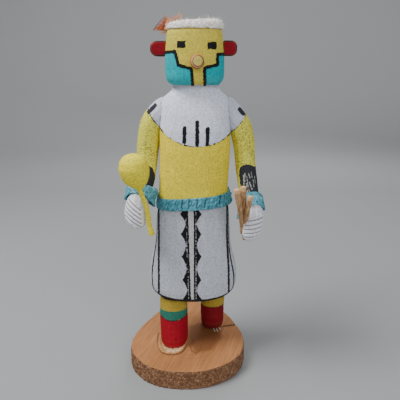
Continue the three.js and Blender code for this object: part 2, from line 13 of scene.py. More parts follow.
import bmesh
import bpy
import numpy as np
from mathutils import Matrix, Vector, noise


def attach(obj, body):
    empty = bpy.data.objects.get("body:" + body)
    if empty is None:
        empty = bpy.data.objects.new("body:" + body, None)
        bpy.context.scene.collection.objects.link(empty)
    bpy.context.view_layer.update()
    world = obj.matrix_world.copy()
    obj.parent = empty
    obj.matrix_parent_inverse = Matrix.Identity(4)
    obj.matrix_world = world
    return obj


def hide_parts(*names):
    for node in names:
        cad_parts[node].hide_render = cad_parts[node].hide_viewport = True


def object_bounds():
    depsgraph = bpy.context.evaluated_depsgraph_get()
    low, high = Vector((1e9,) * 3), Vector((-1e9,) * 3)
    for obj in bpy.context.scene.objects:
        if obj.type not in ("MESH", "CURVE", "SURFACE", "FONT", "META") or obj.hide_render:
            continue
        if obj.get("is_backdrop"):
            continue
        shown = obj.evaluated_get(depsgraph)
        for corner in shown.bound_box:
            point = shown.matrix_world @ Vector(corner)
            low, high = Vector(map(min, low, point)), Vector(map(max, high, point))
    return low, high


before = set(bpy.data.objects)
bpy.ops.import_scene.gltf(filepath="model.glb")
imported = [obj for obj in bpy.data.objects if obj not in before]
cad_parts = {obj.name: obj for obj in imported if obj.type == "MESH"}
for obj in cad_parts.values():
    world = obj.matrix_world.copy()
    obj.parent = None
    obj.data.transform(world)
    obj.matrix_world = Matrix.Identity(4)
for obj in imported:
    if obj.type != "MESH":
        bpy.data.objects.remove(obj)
CAD_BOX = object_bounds()

MM = 0.001
FAR = 1000.0
WELD = 0.001 * MM
SOFTEN = 0.5
SEED = 7

Colour = tuple[float, float, float]
Place2 = tuple[float, float]
Place3 = tuple[float, float, float]
Span = tuple[float, float]
Line = tuple[Place2, ...]
Spread = tuple[Union[float, Span], ...]
log = logging.getLogger("doll")


def tint(red: int, green: int, blue: int) -> Colour:
    """Return the linear colour of a paint seen as these 0 to 255 values.

    Args:
        red: Amount of red.
        green: Amount of green.
        blue: Amount of blue.

    Returns:
        The three linear values.
    """
    return tuple(
        part / 12.92 if part <= 0.04045 else ((part + 0.055) / 1.055) ** 2.4
        for part in (red / 255, green / 255, blue / 255)
    )


YELLOW = tint(246, 224, 66)
FACE_YELLOW = tint(216, 200, 78)
# The legs' yellow: their own more orange paint, darkened as painted shade under the kilt.
SHADED_LEG_YELLOW = tint(176, 150, 54)
ARM_YELLOW = tint(255, 250, 84)
GOURD_YELLOW = tint(246, 230, 64)
TURQUOISE = tint(8, 176, 186)
BAND_GREEN = tint(44, 116, 98)
LEATHER_BLUE = tint(84, 156, 176)
RED = tint(158, 8, 32)
# The left boot's red, darkened as painted shade.
SHADED_LEFT_BOOT_RED = tint(128, 8, 26)
EAR_RED = tint(142, 10, 32)
EAR_RIM_RED = tint(58, 8, 16)
CAPE_WHITE = tint(226, 230, 246)
KILT_WHITE = tint(198, 202, 212)
STRIP_WHITE = tint(206, 204, 204)
HAND_WHITE = tint(240, 241, 250)
STREAK_GREY = tint(170, 174, 164)
BLACK = tint(22, 22, 26)
CREAM = tint(216, 182, 136)
SOLE_WOOD = tint(184, 132, 84)
WELT_WOOD = tint(222, 190, 146)
# Painted shade: colours laid in hollows, creases and finger cuts, where shade falls.
HOLLOW_SHADE = tint(70, 58, 34)
FINGER_CUT_SHADE = tint(84, 86, 98)
ARM_SPECK = tint(150, 108, 40)
GOURD_SPECK = tint(150, 128, 40)
MOUTH_YELLOW = tint(212, 196, 104)
MOUTH_SIDE = tint(178, 112, 74)
MOUTH_RIM = tint(226, 158, 126)
MOUTH_LINE = tint(112, 54, 38)


class Val:
    """A shader socket that takes part in Python expressions."""

    def __init__(self, box: "Paintbox", socket: bpy.types.NodeSocket) -> None:
        """Keep the socket and the material that it belongs to."""
        self.box = box
        self.socket = socket

    def _math(self, operation: str, *values: "Number") -> "Val":
        """Return the result of one Math node."""
        return self.box.node("ShaderNodeMath", {"operation": operation}, dict(enumerate(values)))

    def __add__(self, other: "Number") -> "Val":
        """Add."""
        return self._math("ADD", self, other)

    def __sub__(self, other: "Number") -> "Val":
        """Subtract."""
        return self._math("SUBTRACT", self, other)

    def __rsub__(self, other: "Number") -> "Val":
        """Subtract this value from a number."""
        return self._math("SUBTRACT", other, self)

    def __mul__(self, other: "Number") -> "Val":
        """Multiply."""
        return self._math("MULTIPLY", self, other)

    __radd__ = __add__
    __rmul__ = __mul__

    def above(self, level: float, blur: float) -> "Val":
        """Return 1 where the value is over the level and 0 under it, blurred over a width."""
        rise = (self - level) * (1 / blur) + 0.5
        return self.box.node("ShaderNodeClamp", {}, {0: rise})



Number = Union[float, Val]


class Paintbox:
    """Builds the nodes of one material and hands their sockets on as values."""

    def __init__(self, name: str, roughness: float = 0.8, specular: float = 0.25) -> None:
        """Start a material with one matt surface shader.

        Args:
            name: The material's name.
            roughness: How matt it is.
            specular: How strongly it shines.
        """
        self.material = bpy.data.materials.new(name)
        self.material.use_nodes = True
        self.tree = self.material.node_tree
        self.shader = self.tree.nodes["Principled BSDF"]
        self.shader.inputs["Roughness"].default_value = roughness
        self.shader.inputs["Specular IOR Level"].default_value = specular
        self.place = self.node("ShaderNodeTexCoord", {}, {}, "Object")

    def node(self, kind: str, settings: dict, inputs: dict, out: Union[int, str] = 0) -> Val:
        """Add a node.

        Args:
            kind: The node's type.
            settings: Its properties, and a ramp's stops, which are set first.
            inputs: Its sockets' values or links, by name or place.
            out: The output to hand on.

        Returns:
            That output.
        """
        made = self.tree.nodes.new(kind)
        for key, value in settings.items():
            if key == "stops":
                for element, (position, colour) in zip(made.color_ramp.elements, value):
                    element.position = position
                    element.color = (*colour, 1.0)
            else:
                setattr(made, key, value)
        for key, value in inputs.items():
            if isinstance(value, Val):
                self.tree.links.new(value.socket, made.inputs[key])
            else:
                made.inputs[key].default_value = value
        return Val(self, made.outputs[out])

    def field(self, name: str) -> Val:
        """Return a painted attribute of the mesh."""
        return self.node("ShaderNodeAttribute", {"attribute_name": name}, {}, "Fac")

    def grain(self, size: float, detail: float = 3.0, stretch: Sequence[float] = (1, 1, 1),
              turn: Sequence[float] = (0, 0, 0)) -> Val:
        """Return noise between about 0 and 1.

        Args:
            size: Size of its blotches in millimetres.
            detail: How many finer layers it holds.
            stretch: How much faster it changes along each axis.
            turn: Its turn about each axis.

        Returns:
            The noise.
        """
        mapped = self.node(
            "ShaderNodeMapping", {"vector_type": "TEXTURE"},
            {"Vector": self.place, "Rotation": tuple(turn), "Scale": tuple(1 / rate for rate in stretch)},
        )
        return self.node(
            "ShaderNodeTexNoise", {},
            {"Vector": mapped, "Scale": 1 / (size * MM), "Detail": detail, "Roughness": 0.6},
        )

    def blend(self, share: Number, first: Union[Val, Colour], second: Union[Val, Colour],
              mode: str = "MIX") -> Val:
        """Return two colours mixed.

        Args:
            share: How much of the second one.
            first: The colour below.
            second: The colour on top.
            mode: The way that they mix.

        Returns:
            The mixed colour.
        """
        ends = [c if isinstance(c, Val) else (*c, 1.0) for c in (first, second)]
        return self.node(
            "ShaderNodeMix", {"data_type": "RGBA", "blend_type": mode},
            {0: share, 6: ends[0], 7: ends[1]}, 2,
        )

    def shade(self, colour: Union[Val, Colour], amount: Val, low: float, high: float) -> Val:
        """Return a colour made darker and lighter by a value between 0 and 1."""
        level = amount * (high - low) + low
        grey = self.node("ShaderNodeCombineXYZ", {}, {0: level, 1: level, 2: level})
        return self.blend(1.0, colour, grey, "MULTIPLY")

    def finish(self, colour: Val, height: Val, depth: float,
               roughness: Union[Val, None] = None) -> bpy.types.Material:
        """Join the colour and the fine relief to the shader.

        Args:
            colour: The surface's colour.
            height: The fine relief, between 0 and 1.
            depth: Its depth in millimetres.
            roughness: How matt each place is, where that varies.

        Returns:
            The finished material.
        """
        relief = self.node("ShaderNodeBump", {}, {"Strength": 1.0, "Distance": depth * MM, "Height": height})
        self.tree.links.new(colour.socket, self.shader.inputs["Base Color"])
        self.tree.links.new(relief.socket, self.shader.inputs["Normal"])
        if roughness is not None:
            self.tree.links.new(roughness.socket, self.shader.inputs["Roughness"])
        return self.material


@dataclass(frozen=True)
class Coat:
    """One colour brushed over the ones before, where its painted field is above 0."""

    field: str
    colour: Colour
    ragged: float = 0.5
    thin: float = 0.0


@dataclass(frozen=True)
class EarthPaint:
    """Matt earth paint on carved root wood, laid on coat by coat, with painted shade in hollows. Grain is
    sized in millimetres.
    """

    name: str
    ground: Colour
    coats: tuple[Coat, ...] = ()
    speck: Colour = tint(132, 84, 28)
    speck_share: float = 0.0
    speck_size: float = 1.2
    speck_cover: float = 0.8
    streaks: Sequence[float] = (1.0, 1.0, 0.12)
    cloud_size: float = 16.0
    brush_size: float = 2.6
    fine_size: float = 1.9
    grain_depth: float = 0.4
    edge_blur: float = 0.35
    ground_cloud: Span = (0.84, 1.12)
    coat_cloud: Span = (0.9, 1.08)
    brushed: Span = (0.84, 1.14)
    grainy: Span = (0.5, 1.5)
    hollow_shade: Colour = HOLLOW_SHADE
    hollow_shade_level: float = 0.16
    hollow_shade_cover: float = 0.7
    worn_cover: float = 0.25

    def material(self) -> bpy.types.Material:
        """Return the paint as a material."""
        box = Paintbox(self.name)
        ragged = (box.grain(self.fine_size, 3.0) - 0.5) * 4
        cloud = box.grain(self.cloud_size, 2.0)
        brush = box.grain(self.brush_size, 3.0, self.streaks)
        fine = box.grain(self.fine_size, 2.5)
        colour = box.shade(self.ground, cloud, *self.ground_cloud)
        if self.speck_share > 0:
            dots = box.grain(self.speck_size, 1.5) + (cloud - 0.5) * 0.22
            dots = dots.above(0.69 - self.speck_share, 0.05)
            colour = box.blend(dots * box.field("speckled") * self.speck_cover, colour, self.speck)
        for coat in self.coats:
            edge = box.field(coat.field) + ragged * coat.ragged
            mask = edge.above(0.0, self.edge_blur)
            if coat.thin > 0:
                rubbed = (fine * 0.6 + brush * 0.6).above(1.0 - coat.thin, 0.12)
                mask = mask * (1 - rubbed * 0.75)
            colour = box.blend(mask, colour, box.shade(coat.colour, cloud, *self.coat_cloud))
        colour = box.shade(colour, brush, *self.brushed)
        colour = box.shade(colour, fine, *self.grainy)
        hollow = box.field("hollow")
        # Painted shade darkens the hollows; the raised edges get worn, paler paint.
        colour = box.blend(hollow.above(self.hollow_shade_level, 0.3) * self.hollow_shade_cover, colour, self.hollow_shade)
        colour = box.blend((hollow * -1).above(0.35, 0.6) * self.worn_cover, colour, CREAM)
        return box.finish(colour, fine * 0.6 + brush * 0.4, self.grain_depth)


@dataclass(frozen=True)
class SawnBranch:
    """The slice: sawn wood with scratches, rings and a painted shadow, and rough bark round it."""

    name: str
    sawn: Colour = tint(174, 118, 72)
    late_wood: Colour = tint(122, 76, 42)
    pencil: Colour = tint(78, 62, 52)
    glue: Colour = tint(240, 232, 218)
    bark: Colour = tint(146, 100, 66)
    bark_dark: Colour = tint(100, 64, 40)
    bark_pale: Colour = tint(192, 158, 128)
    pith: Place3 = (0.006, -0.020, 0.0)
    ring_rate: float = 0.42
    scratch_turn: float = math.radians(71)
    scratch_size: float = 1.3
    coarse_size: float = 7.0
    cloud_size: float = 34.0
    flake_size: float = 3.2
    crust_size: float = 1.1
    clouded: Span = (0.82, 1.16)
    sawn_coarse: Span = (0.7, 1.3)
    scratched: Span = (0.55, 1.45)
    crusted: Span = (0.5, 1.4)
    grain_depth: float = 0.5

    def rings(self, box: Paintbox, cloud: Val) -> Val:
        """Return the noise of the growth rings, which run round the pith.

        Args:
            box: The slice's material.
            cloud: Noise that makes the rings uneven.

        Returns:
            The noise.
        """
        away = box.node("ShaderNodeVectorMath", {"operation": "SUBTRACT"}, {0: box.place, 1: self.pith})
        reach = box.node("ShaderNodeVectorMath", {"operation": "LENGTH"}, {0: away}, "Value")
        return box.node(
            "ShaderNodeTexNoise", {"noise_dimensions": "1D"},
            {"W": reach * 1000 + cloud * 5, "Scale": self.ring_rate, "Detail": 2.0},
        )

    def material(self) -> bpy.types.Material:
        """Return the slice's material."""
        box = Paintbox(self.name, 0.72, 0.3)
        turn = (0.0, 0.0, self.scratch_turn)
        scratch = box.grain(self.scratch_size, 3.0, (0.05, 1.0, 1.0), turn)
        coarse = box.grain(self.coarse_size, 3.0, (0.12, 1.0, 1.0), turn)
        cloud = box.grain(self.cloud_size, 3.0)
        late = self.rings(box, cloud).above(0.56, 0.2) * 0.14
        wood = box.blend(late, box.shade(self.sawn, cloud, *self.clouded), self.late_wood)
        wood = box.shade(wood, coarse, *self.sawn_coarse)
        wood = box.shade(wood, scratch, *self.scratched)
        for cover, colour in (
            # Painted shadow of the kilt and boots, partly a real stain, in the late wood colour.
            (box.field("shadow_and_stain").above(0.0, 5.0) * 0.8, self.late_wood),
            (box.field("knot").above(0.0, 0.7) * 0.8, self.late_wood),
            ((box.field("pencil") + scratch * 0.4).above(0.2, 0.2) * 0.6, self.pencil),
            ((box.field("glue") + scratch).above(0.5, 0.4) * 0.75, self.glue),
            (box.field("crack").above(0.0, 0.3) * 0.8, self.bark_dark),
        ):
            wood = box.blend(cover, wood, colour)
        flakes = box.grain(self.flake_size, 4.0, (1.0, 1.0, 0.7))
        crust = box.grain(self.crust_size, 3.0)
        rough = box.blend(flakes.above(0.46, 0.35), self.bark_dark, self.bark)
        rough = box.blend((crust * 0.7 + flakes * 0.3).above(0.56, 0.1) * 0.65, rough, self.bark_pale)
        rough = box.shade(rough, crust, *self.crusted)
        barked = (box.field("bark") + (flakes - 0.5) * 0.5).above(0.5, 0.2)
        height = scratch * 0.35 * (1 - barked) + (crust * 0.7 + flakes) * barked
        return box.finish(box.blend(barked, wood, rough), height, self.grain_depth)


@dataclass(frozen=True)
class PaintedLeather:
    """Turquoise leather with brushed strokes, painted shade at lower edges, slits and creases, and painted
    highlights on folds.
    """

    name: str
    dark_stroke: Colour = tint(34, 96, 108)
    pale_stroke: Colour = tint(140, 200, 216)
    # Painted shade at edges and slits, painted highlight on folds, painted shade in creases.
    edge_shade: Colour = tint(22, 62, 72)
    fold_highlight: Colour = tint(176, 218, 230)
    crease_shade: Colour = tint(14, 48, 56)
    stroke_turn: float = math.radians(38)
    stroke_size: float = 1.5
    clouded: Span = (0.86, 1.14)
    grainy: Span = (0.6, 1.4)
    grain_depth: float = 0.25

    def material(self) -> bpy.types.Material:
        """Return the leather's material."""
        box = Paintbox(self.name, 0.75, 0.25)
        ragged = (box.grain(1.6, 2.0) - 0.5) * 0.5
        strokes = box.grain(self.stroke_size, 2.0, (1.0, 1.0, 0.3), (0.0, self.stroke_turn, 0.0))
        fine = box.grain(0.9, 2.0)
        colour = box.shade(LEATHER_BLUE, box.grain(9.0, 2.0), *self.clouded)
        for cover, paint in (
            (strokes.above(0.55, 0.08) * 0.75, self.dark_stroke),
            ((1 - strokes).above(0.6, 0.08) * 0.35, self.pale_stroke),
            # Painted shade along lower edges and slits, and a painted highlight along the folds.
            ((box.field("edge") + ragged).above(0.0, 0.4) * 0.8, self.edge_shade),
            ((box.field("fold_highlight") + ragged).above(0.0, 0.4) * 0.5, self.fold_highlight),
        ):
            colour = box.blend(cover, colour, paint)
        colour = box.shade(colour, fine, *self.grainy)
        # Painted shade in the hollows: creases and slits.
        colour = box.blend(box.field("hollow").above(0.12, 0.2) * 0.85, colour, self.crease_shade)
        return box.finish(colour, fine * 0.5 + strokes * 0.5, self.grain_depth)


@dataclass(frozen=True)
class SoftFleece:
    """White curly fleece, shadowed between its locks."""

    name: str
    wool: Colour = tint(255, 248, 242)
    shadow: Colour = tint(176, 160, 150)
    curl_size: float = 1.5
    curled: Span = (0.86, 1.12)
    curl_depth: float = 0.5

    def material(self) -> bpy.types.Material:
        """Return the fleece's material."""
        box = Paintbox(self.name, 0.95, 0.1)
        curl = box.grain(self.curl_size, 3.0)
        colour = box.shade(self.wool, curl, *self.curled)
        colour = box.blend(box.field("hollow").above(0.2, 0.7) * 0.35, colour, self.shadow)
        return box.finish(colour, curl, self.curl_depth)


@dataclass(frozen=True)
class Plume:
    """Feather barbs: rusty near the quill, pale at the fluff."""

    name: str
    rust: Colour = tint(226, 122, 48)
    pale: Colour = tint(244, 206, 172)
    dark: Colour = tint(58, 34, 24)
    rust_cloud: Span = (0.65, 1.2)
    grainy: Span = (0.82, 1.15)
    grain_depth: float = 0.1

    def material(self) -> bpy.types.Material:
        """Return the feather's material."""
        box = Paintbox(self.name, 0.7, 0.2)
        fine = box.grain(0.9, 2.0, (1.0, 1.0, 0.4))
        rust = box.shade(self.rust, box.grain(3.0, 2.0), *self.rust_cloud)
        colour = box.blend(box.field("fluff").above(0.5, 0.8), rust, self.pale)
        colour = box.blend(box.field("dark").above(0.5, 0.5), colour, self.dark)
        return box.finish(box.shade(colour, fine, *self.grainy), fine, self.grain_depth)


@dataclass(frozen=True)
class TwigBark:
    """Thin brown bark over pale split wood, with painted shade in its hollows."""

    name: str
    pale_bark: Colour = tint(204, 164, 120)
    brown_bark: Colour = tint(134, 92, 60)
    split_wood: Colour = tint(222, 180, 132)
    crack: Colour = tint(66, 38, 22)
    ridge_size: float = 1.3
    clouded: Span = (0.78, 1.2)
    ridge_depth: float = 0.3

    def material(self) -> bpy.types.Material:
        """Return the twig's material."""
        box = Paintbox(self.name, 0.7, 0.25)
        ridges = box.grain(self.ridge_size, 3.0, (1.0, 1.0, 0.14))
        colour = box.blend(ridges.above(0.5, 0.16) * 0.75, self.pale_bark, self.brown_bark)
        colour = box.shade(colour, box.grain(6.0, 2.0), *self.clouded)
        torn = (box.field("split") + (ridges - 0.5) * 2).above(0.0, 0.6)
        colour = box.blend(torn, colour, self.split_wood)
        # Painted shade: the twig's hollows are darkened in the crack colour, where shade falls.
        colour = box.blend(box.field("hollow").above(0.12, 0.4) * 0.7, colour, self.crack)
        return box.finish(colour, ridges, self.ridge_depth)


def near(points: np.ndarray, line: Sequence[Place2]) -> np.ndarray:
    """Return each point's distance to a broken line in its plane.

    Args:
        points: Two coordinates a row.
        line: The line's corners.

    Returns:
        The distances.
    """
    best = np.full(len(points), FAR)
    for start, end in zip(line, line[1:]):
        foot = np.array(start, float)
        run = np.array(end, float) - foot
        share = np.clip(((points - foot) @ run) / (run @ run), 0, 1)
        best = np.minimum(best, np.linalg.norm(points - foot - share[:, None] * run, axis=1))
    return best


def strokes(points: np.ndarray, lines: Sequence[Line], width: float) -> np.ndarray:
    """Return a field above 0 within this distance of any of the broken lines.

    Args:
        points: Two coordinates a row.
        lines: The lines, each by its corners.
        width: Half the width of the strokes.

    Returns:
        The field.
    """
    marks = np.full(len(points), -FAR)
    for line in lines:
        marks = np.maximum(marks, width - near(points, line))
    return marks


def within(points: np.ndarray, outline: Sequence[Place2]) -> np.ndarray:
    """Return each point's distance to a closed outline, positive inside it.

    Args:
        points: Two coordinates a row.
        outline: The outline's corners.

    Returns:
        The signed distances.
    """
    inside = np.zeros(len(points), bool)
    closed = [*outline, outline[0]]
    for (ax, ay), (bx, by) in zip(closed, closed[1:]):
        if ay != by:
            crossed = (points[:, 1] < ay) != (points[:, 1] < by)
            inside ^= crossed & (points[:, 0] < ax + (points[:, 1] - ay) * (bx - ax) / (by - ay))
    return np.where(inside, 1.0, -1.0) * near(points, closed)


@dataclass(frozen=True)
class Lumps:
    """One layer of smooth relief: height and size in millimetres, and which noise it is."""

    height: float
    size: float
    seed: float
    octaves: int = 2
    stretch: Sequence[float] = (1, 1, 1)


class Surface:
    """The points of a mesh in millimetres, with what is painted on or pressed into them."""

    def __init__(self, mesh: bpy.types.Mesh) -> None:
        """Read the mesh's points and the way that each one faces."""
        self.mesh = mesh
        count = len(mesh.vertices)
        flat = np.empty(count * 3)
        mesh.vertices.foreach_get("co", flat)
        self.at = flat.reshape(-1, 3) / MM
        facing = np.empty(count * 3)
        mesh.vertices.foreach_get("normal", facing)
        self.facing = facing.reshape(-1, 3)

    @property
    def front(self) -> np.ndarray:
        """The points as seen from the front: across and up."""
        return self.at[:, [0, 2]]

    @property
    def height(self) -> np.ndarray:
        """Each point's height."""
        return self.at[:, 2]

    @property
    def behind(self) -> np.ndarray:
        """Whether each point lies behind the doll's middle."""
        return self.at[:, 1] > 0

    def paint(self, name: str, values: np.ndarray) -> None:
        """Store one value a point under a name."""
        layer = self.mesh.attributes.new(name, "FLOAT", "POINT")
        layer.data.foreach_set("value", np.ascontiguousarray(values, np.float32))

    def ripple(self, *layers: Lumps) -> np.ndarray:
        """Return layers of smooth noise, added up, at each point.

        Args:
            layers: The layers.

        Returns:
            Values of about as much as their heights, either way of 0.
        """
        total = np.zeros(len(self.at))
        for layer in layers:
            spots = self.at / layer.size * np.array(layer.stretch) + layer.seed
            lumps = [noise.fractal(spot, 1.0, 2.0, layer.octaves) for spot in spots.tolist()]
            total += layer.height * np.array(lumps)
        return total

    def press(self, depth: np.ndarray) -> None:
        """Move each point out along the way it faces, by that many millimetres."""
        self.at = self.at + self.facing * depth[:, None]
        self.mesh.vertices.foreach_set("co", (self.at * MM).ravel())
        self.mesh.update()

    def hollows(self) -> np.ndarray:
        """Return how deep each point lies among its neighbours, in millimetres, negative on edges."""
        pairs = np.empty(len(self.mesh.edges) * 2, np.int64)
        self.mesh.edges.foreach_get("vertices", pairs)
        first, second = pairs.reshape(-1, 2).T
        total = np.zeros_like(self.at)
        count = np.zeros(len(self.at))
        for here, there in ((first, second), (second, first)):
            np.add.at(total, here, self.at[there])
            np.add.at(count, here, 1)
        middle = total / np.maximum(count, 1)[:, None]
        depth = ((middle - self.at) * self.facing).sum(axis=1)
        for _ in range(2):
            spread = np.zeros(len(depth))
            for here, there in ((first, second), (second, first)):
                np.add.at(spread, here, depth[there])
            depth = 0.5 * depth + 0.5 * spread / np.maximum(count, 1)
        return depth


@dataclass
class Piece:
    """One piece of the object, which stands for the solids that it replaces."""

    name: str
    nodes: tuple[str, ...]
    slot: str

    def settle(self, piece: bpy.types.Object, finish: bpy.types.Material) -> bpy.types.Object:
        """Give the piece its finish and fasten it to the frame.

        Args:
            piece: The piece's object.
            finish: Its material.

        Returns:
            The same object.
        """
        piece.data.materials.clear()
        piece.data.materials.append(finish)
        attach(piece, "root")
        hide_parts(*self.nodes)
        log.info("%s has %d faces", piece.name, len(piece.data.polygons))
        return piece


@dataclass
class Carved(Piece):
    """A piece made by carving a fine copy of its solid."""

    voxel: float = 1.2
    rounds: int = 4
    knife: float = 0.12
    knife_marks: tuple[Lumps, ...] = (Lumps(1.0, 7.0, 3.0), Lumps(0.4, 2.2, 9.0))
    hollow_gain: float = 4.0

    def rough_out(self) -> bpy.types.Object:
        """Return an object with an even, softened copy of the solid.

        Returns:
            The object, with no materials.
        """
        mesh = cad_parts[self.nodes[0]].data.copy()
        mesh.name = self.name
        mesh.materials.clear()
        work = bmesh.new()
        work.from_mesh(mesh)
        bmesh.ops.remove_doubles(work, verts=work.verts, dist=WELD)
        work.to_mesh(mesh)
        work.free()
        piece = bpy.data.objects.new(self.name, mesh)
        bpy.context.scene.collection.objects.link(piece)
        remesh = piece.modifiers.new("even", "REMESH")
        remesh.mode = "VOXEL"
        remesh.voxel_size = self.voxel * MM
        graph = bpy.context.evaluated_depsgraph_get()
        even = bpy.data.meshes.new_from_object(piece.evaluated_get(graph))
        piece.modifiers.clear()
        piece.data = even
        even.name = self.name
        work = bmesh.new()
        work.from_mesh(even)
        for _ in range(self.rounds):
            bmesh.ops.smooth_vert(work, verts=work.verts, factor=SOFTEN, use_axis_x=True,
                                  use_axis_y=True, use_axis_z=True)
        for face in work.faces:
            face.smooth = True
        work.to_mesh(even)
        work.free()
        return piece

    def relief(self, surface: Surface) -> np.ndarray:
        """Return how far each point stands proud of the solid, in millimetres."""
        return self.knife * surface.ripple(*self.knife_marks)

    def shade_weight(self, surface: Surface) -> np.ndarray:
        """Return how strongly the painted shade in the hollows is laid at each point."""
        return np.ones(len(surface.at))

    def shadow(self, surface: Surface) -> None:
        """Paint how hollow each point lies, as a share of the mesh's cells."""
        hollows = surface.hollows() / self.voxel * self.hollow_gain
        surface.paint("hollow", hollows * self.shade_weight(surface))

    def patterns(self, surface: Surface) -> None:
        """Paint the piece's fields. A plain piece has none."""

    def finish(self) -> bpy.types.Material:
        """Return the piece's material."""
        raise NotImplementedError

    def build(self) -> bpy.types.Object:
        """Carve, paint and settle the piece.

        Returns:
            The finished object.
        """
        piece = self.rough_out()
        surface = Surface(piece.data)
        self.shadow(surface)
        self.patterns(surface)
        surface.press(self.relief(surface))
        return self.settle(piece, self.finish())


@dataclass
class Cape:
    """The white cape painted over chest, back and shoulders: one oval hem."""

    middle: float = 12.2
    half_width: float = 54.5
    half_height: float = 60.0
    lowest: float = 245.2
    collar: float = 302.4
    line: float = 0.42
    shaky: Span = (0.9, 1.6)
    shake: Lumps = Lumps(1.0, 5.0, 21.0)
    dash: float = 1.9
    dash_edge: Lumps = Lumps(0.3, 2.0, 33.0)
    dashes: tuple[Line, ...] = (
        ((-0.9, 249.6), (-0.7, 263.2)),
        ((11.3, 247.6), (11.4, 268.6)),
        ((20.9, 247.6), (21.4, 262.4)),
        ((-29.6, 282.9), (-36.1, 276.3)),
        ((52.6, 279.2), (56.4, 274.8)),
    )

    def above_hem(self, surface: Surface) -> np.ndarray:
        """Return each point's height above the hem, positive inside the cape.

        Args:
            surface: The piece that the cape runs over.

        Returns:
            Signed distances in millimetres.
        """
        share = np.clip((surface.at[:, 0] - self.middle) / self.half_width, -0.97, 0.97)
        hem = self.lowest + self.half_height * (1 - np.sqrt(1 - share**2))
        slope = self.half_height / self.half_width * np.abs(share) / np.sqrt(1 - share**2)
        return (surface.height - hem) / np.sqrt(1 + slope**2)

    def paint(self, surface: Surface) -> np.ndarray:
        """Paint the cape's field and return its black marks.

        Args:
            surface: The piece that the cape runs over.

        Returns:
            A field above 0 on the marks.
        """
        inside = self.above_hem(surface)
        surface.paint("cape", np.minimum(inside, self.collar - surface.height))
        marks = strokes(surface.front, self.dashes, self.dash) + surface.ripple(self.dash_edge)
        marks[surface.behind] = -FAR
        even, uneven = self.shaky
        outline = self.line * (even + uneven * surface.ripple(self.shake)) - np.abs(inside)
        return np.maximum(marks, outline)


@dataclass
class Mask:
    """The face: eyes, and the black stepped line over the turquoise jaw."""

    collar: float = 302.4
    above_face: float = 431.0
    below_face: float = 282.4
    line: float = 1.5
    left_steps: Line = ((-17.1, 331.5), (-9.2, 331.9), (-6.0, 319.9), (5.9, 316.9), (6.9, 303.6))
    right_steps: Line = ((18.9, 303.5), (18.4, 317.6), (30.4, 320.4), (30.6, 329.4), (35.7, 330.0))
    front_ends: float = -6.0
    eyes: tuple[tuple[Place2, Place2], ...] = (
        ((-3.0, 338.1), (3.8, 3.0)),
        ((25.1, 337.3), (4.2, 3.2)),
    )
    eye_edge: Lumps = Lumps(0.55, 1.1, 77.0)

    def paint(self, surface: Surface) -> np.ndarray:
        """Paint the jaw's field and return the black lines.

        Args:
            surface: The carved body.

        Returns:
            A field above 0 on the black.
        """
        left, right = self.left_steps, self.right_steps
        face = [
            (-FAR, left[0][1]), *left, (left[-1][0], self.below_face),
            (right[0][0], self.below_face), *right, (FAR, right[-1][1]),
            (FAR, self.above_face), (-FAR, self.above_face),
        ]
        jaw = -within(surface.front, face)
        aside = surface.at[:, 1] > self.front_ends
        level = np.interp(surface.at[:, 0], *zip(left[0], right[-1]))
        jaw[aside] = (level - surface.height)[aside]
        on_head = surface.height - self.collar
        surface.paint("jaw", np.minimum(jaw, on_head))
        black = np.minimum(self.line - np.abs(jaw + 0.3), on_head + 1)
        for (x, z), (half_wide, half_high) in self.eyes:
            across = np.abs(surface.at[:, 0] - x) - half_wide
            up = np.abs(surface.height - z) - half_high
            eye = surface.ripple(self.eye_edge) - np.maximum(across, up)
            eye[surface.behind] = -FAR
            black = np.maximum(black, eye)
        return black


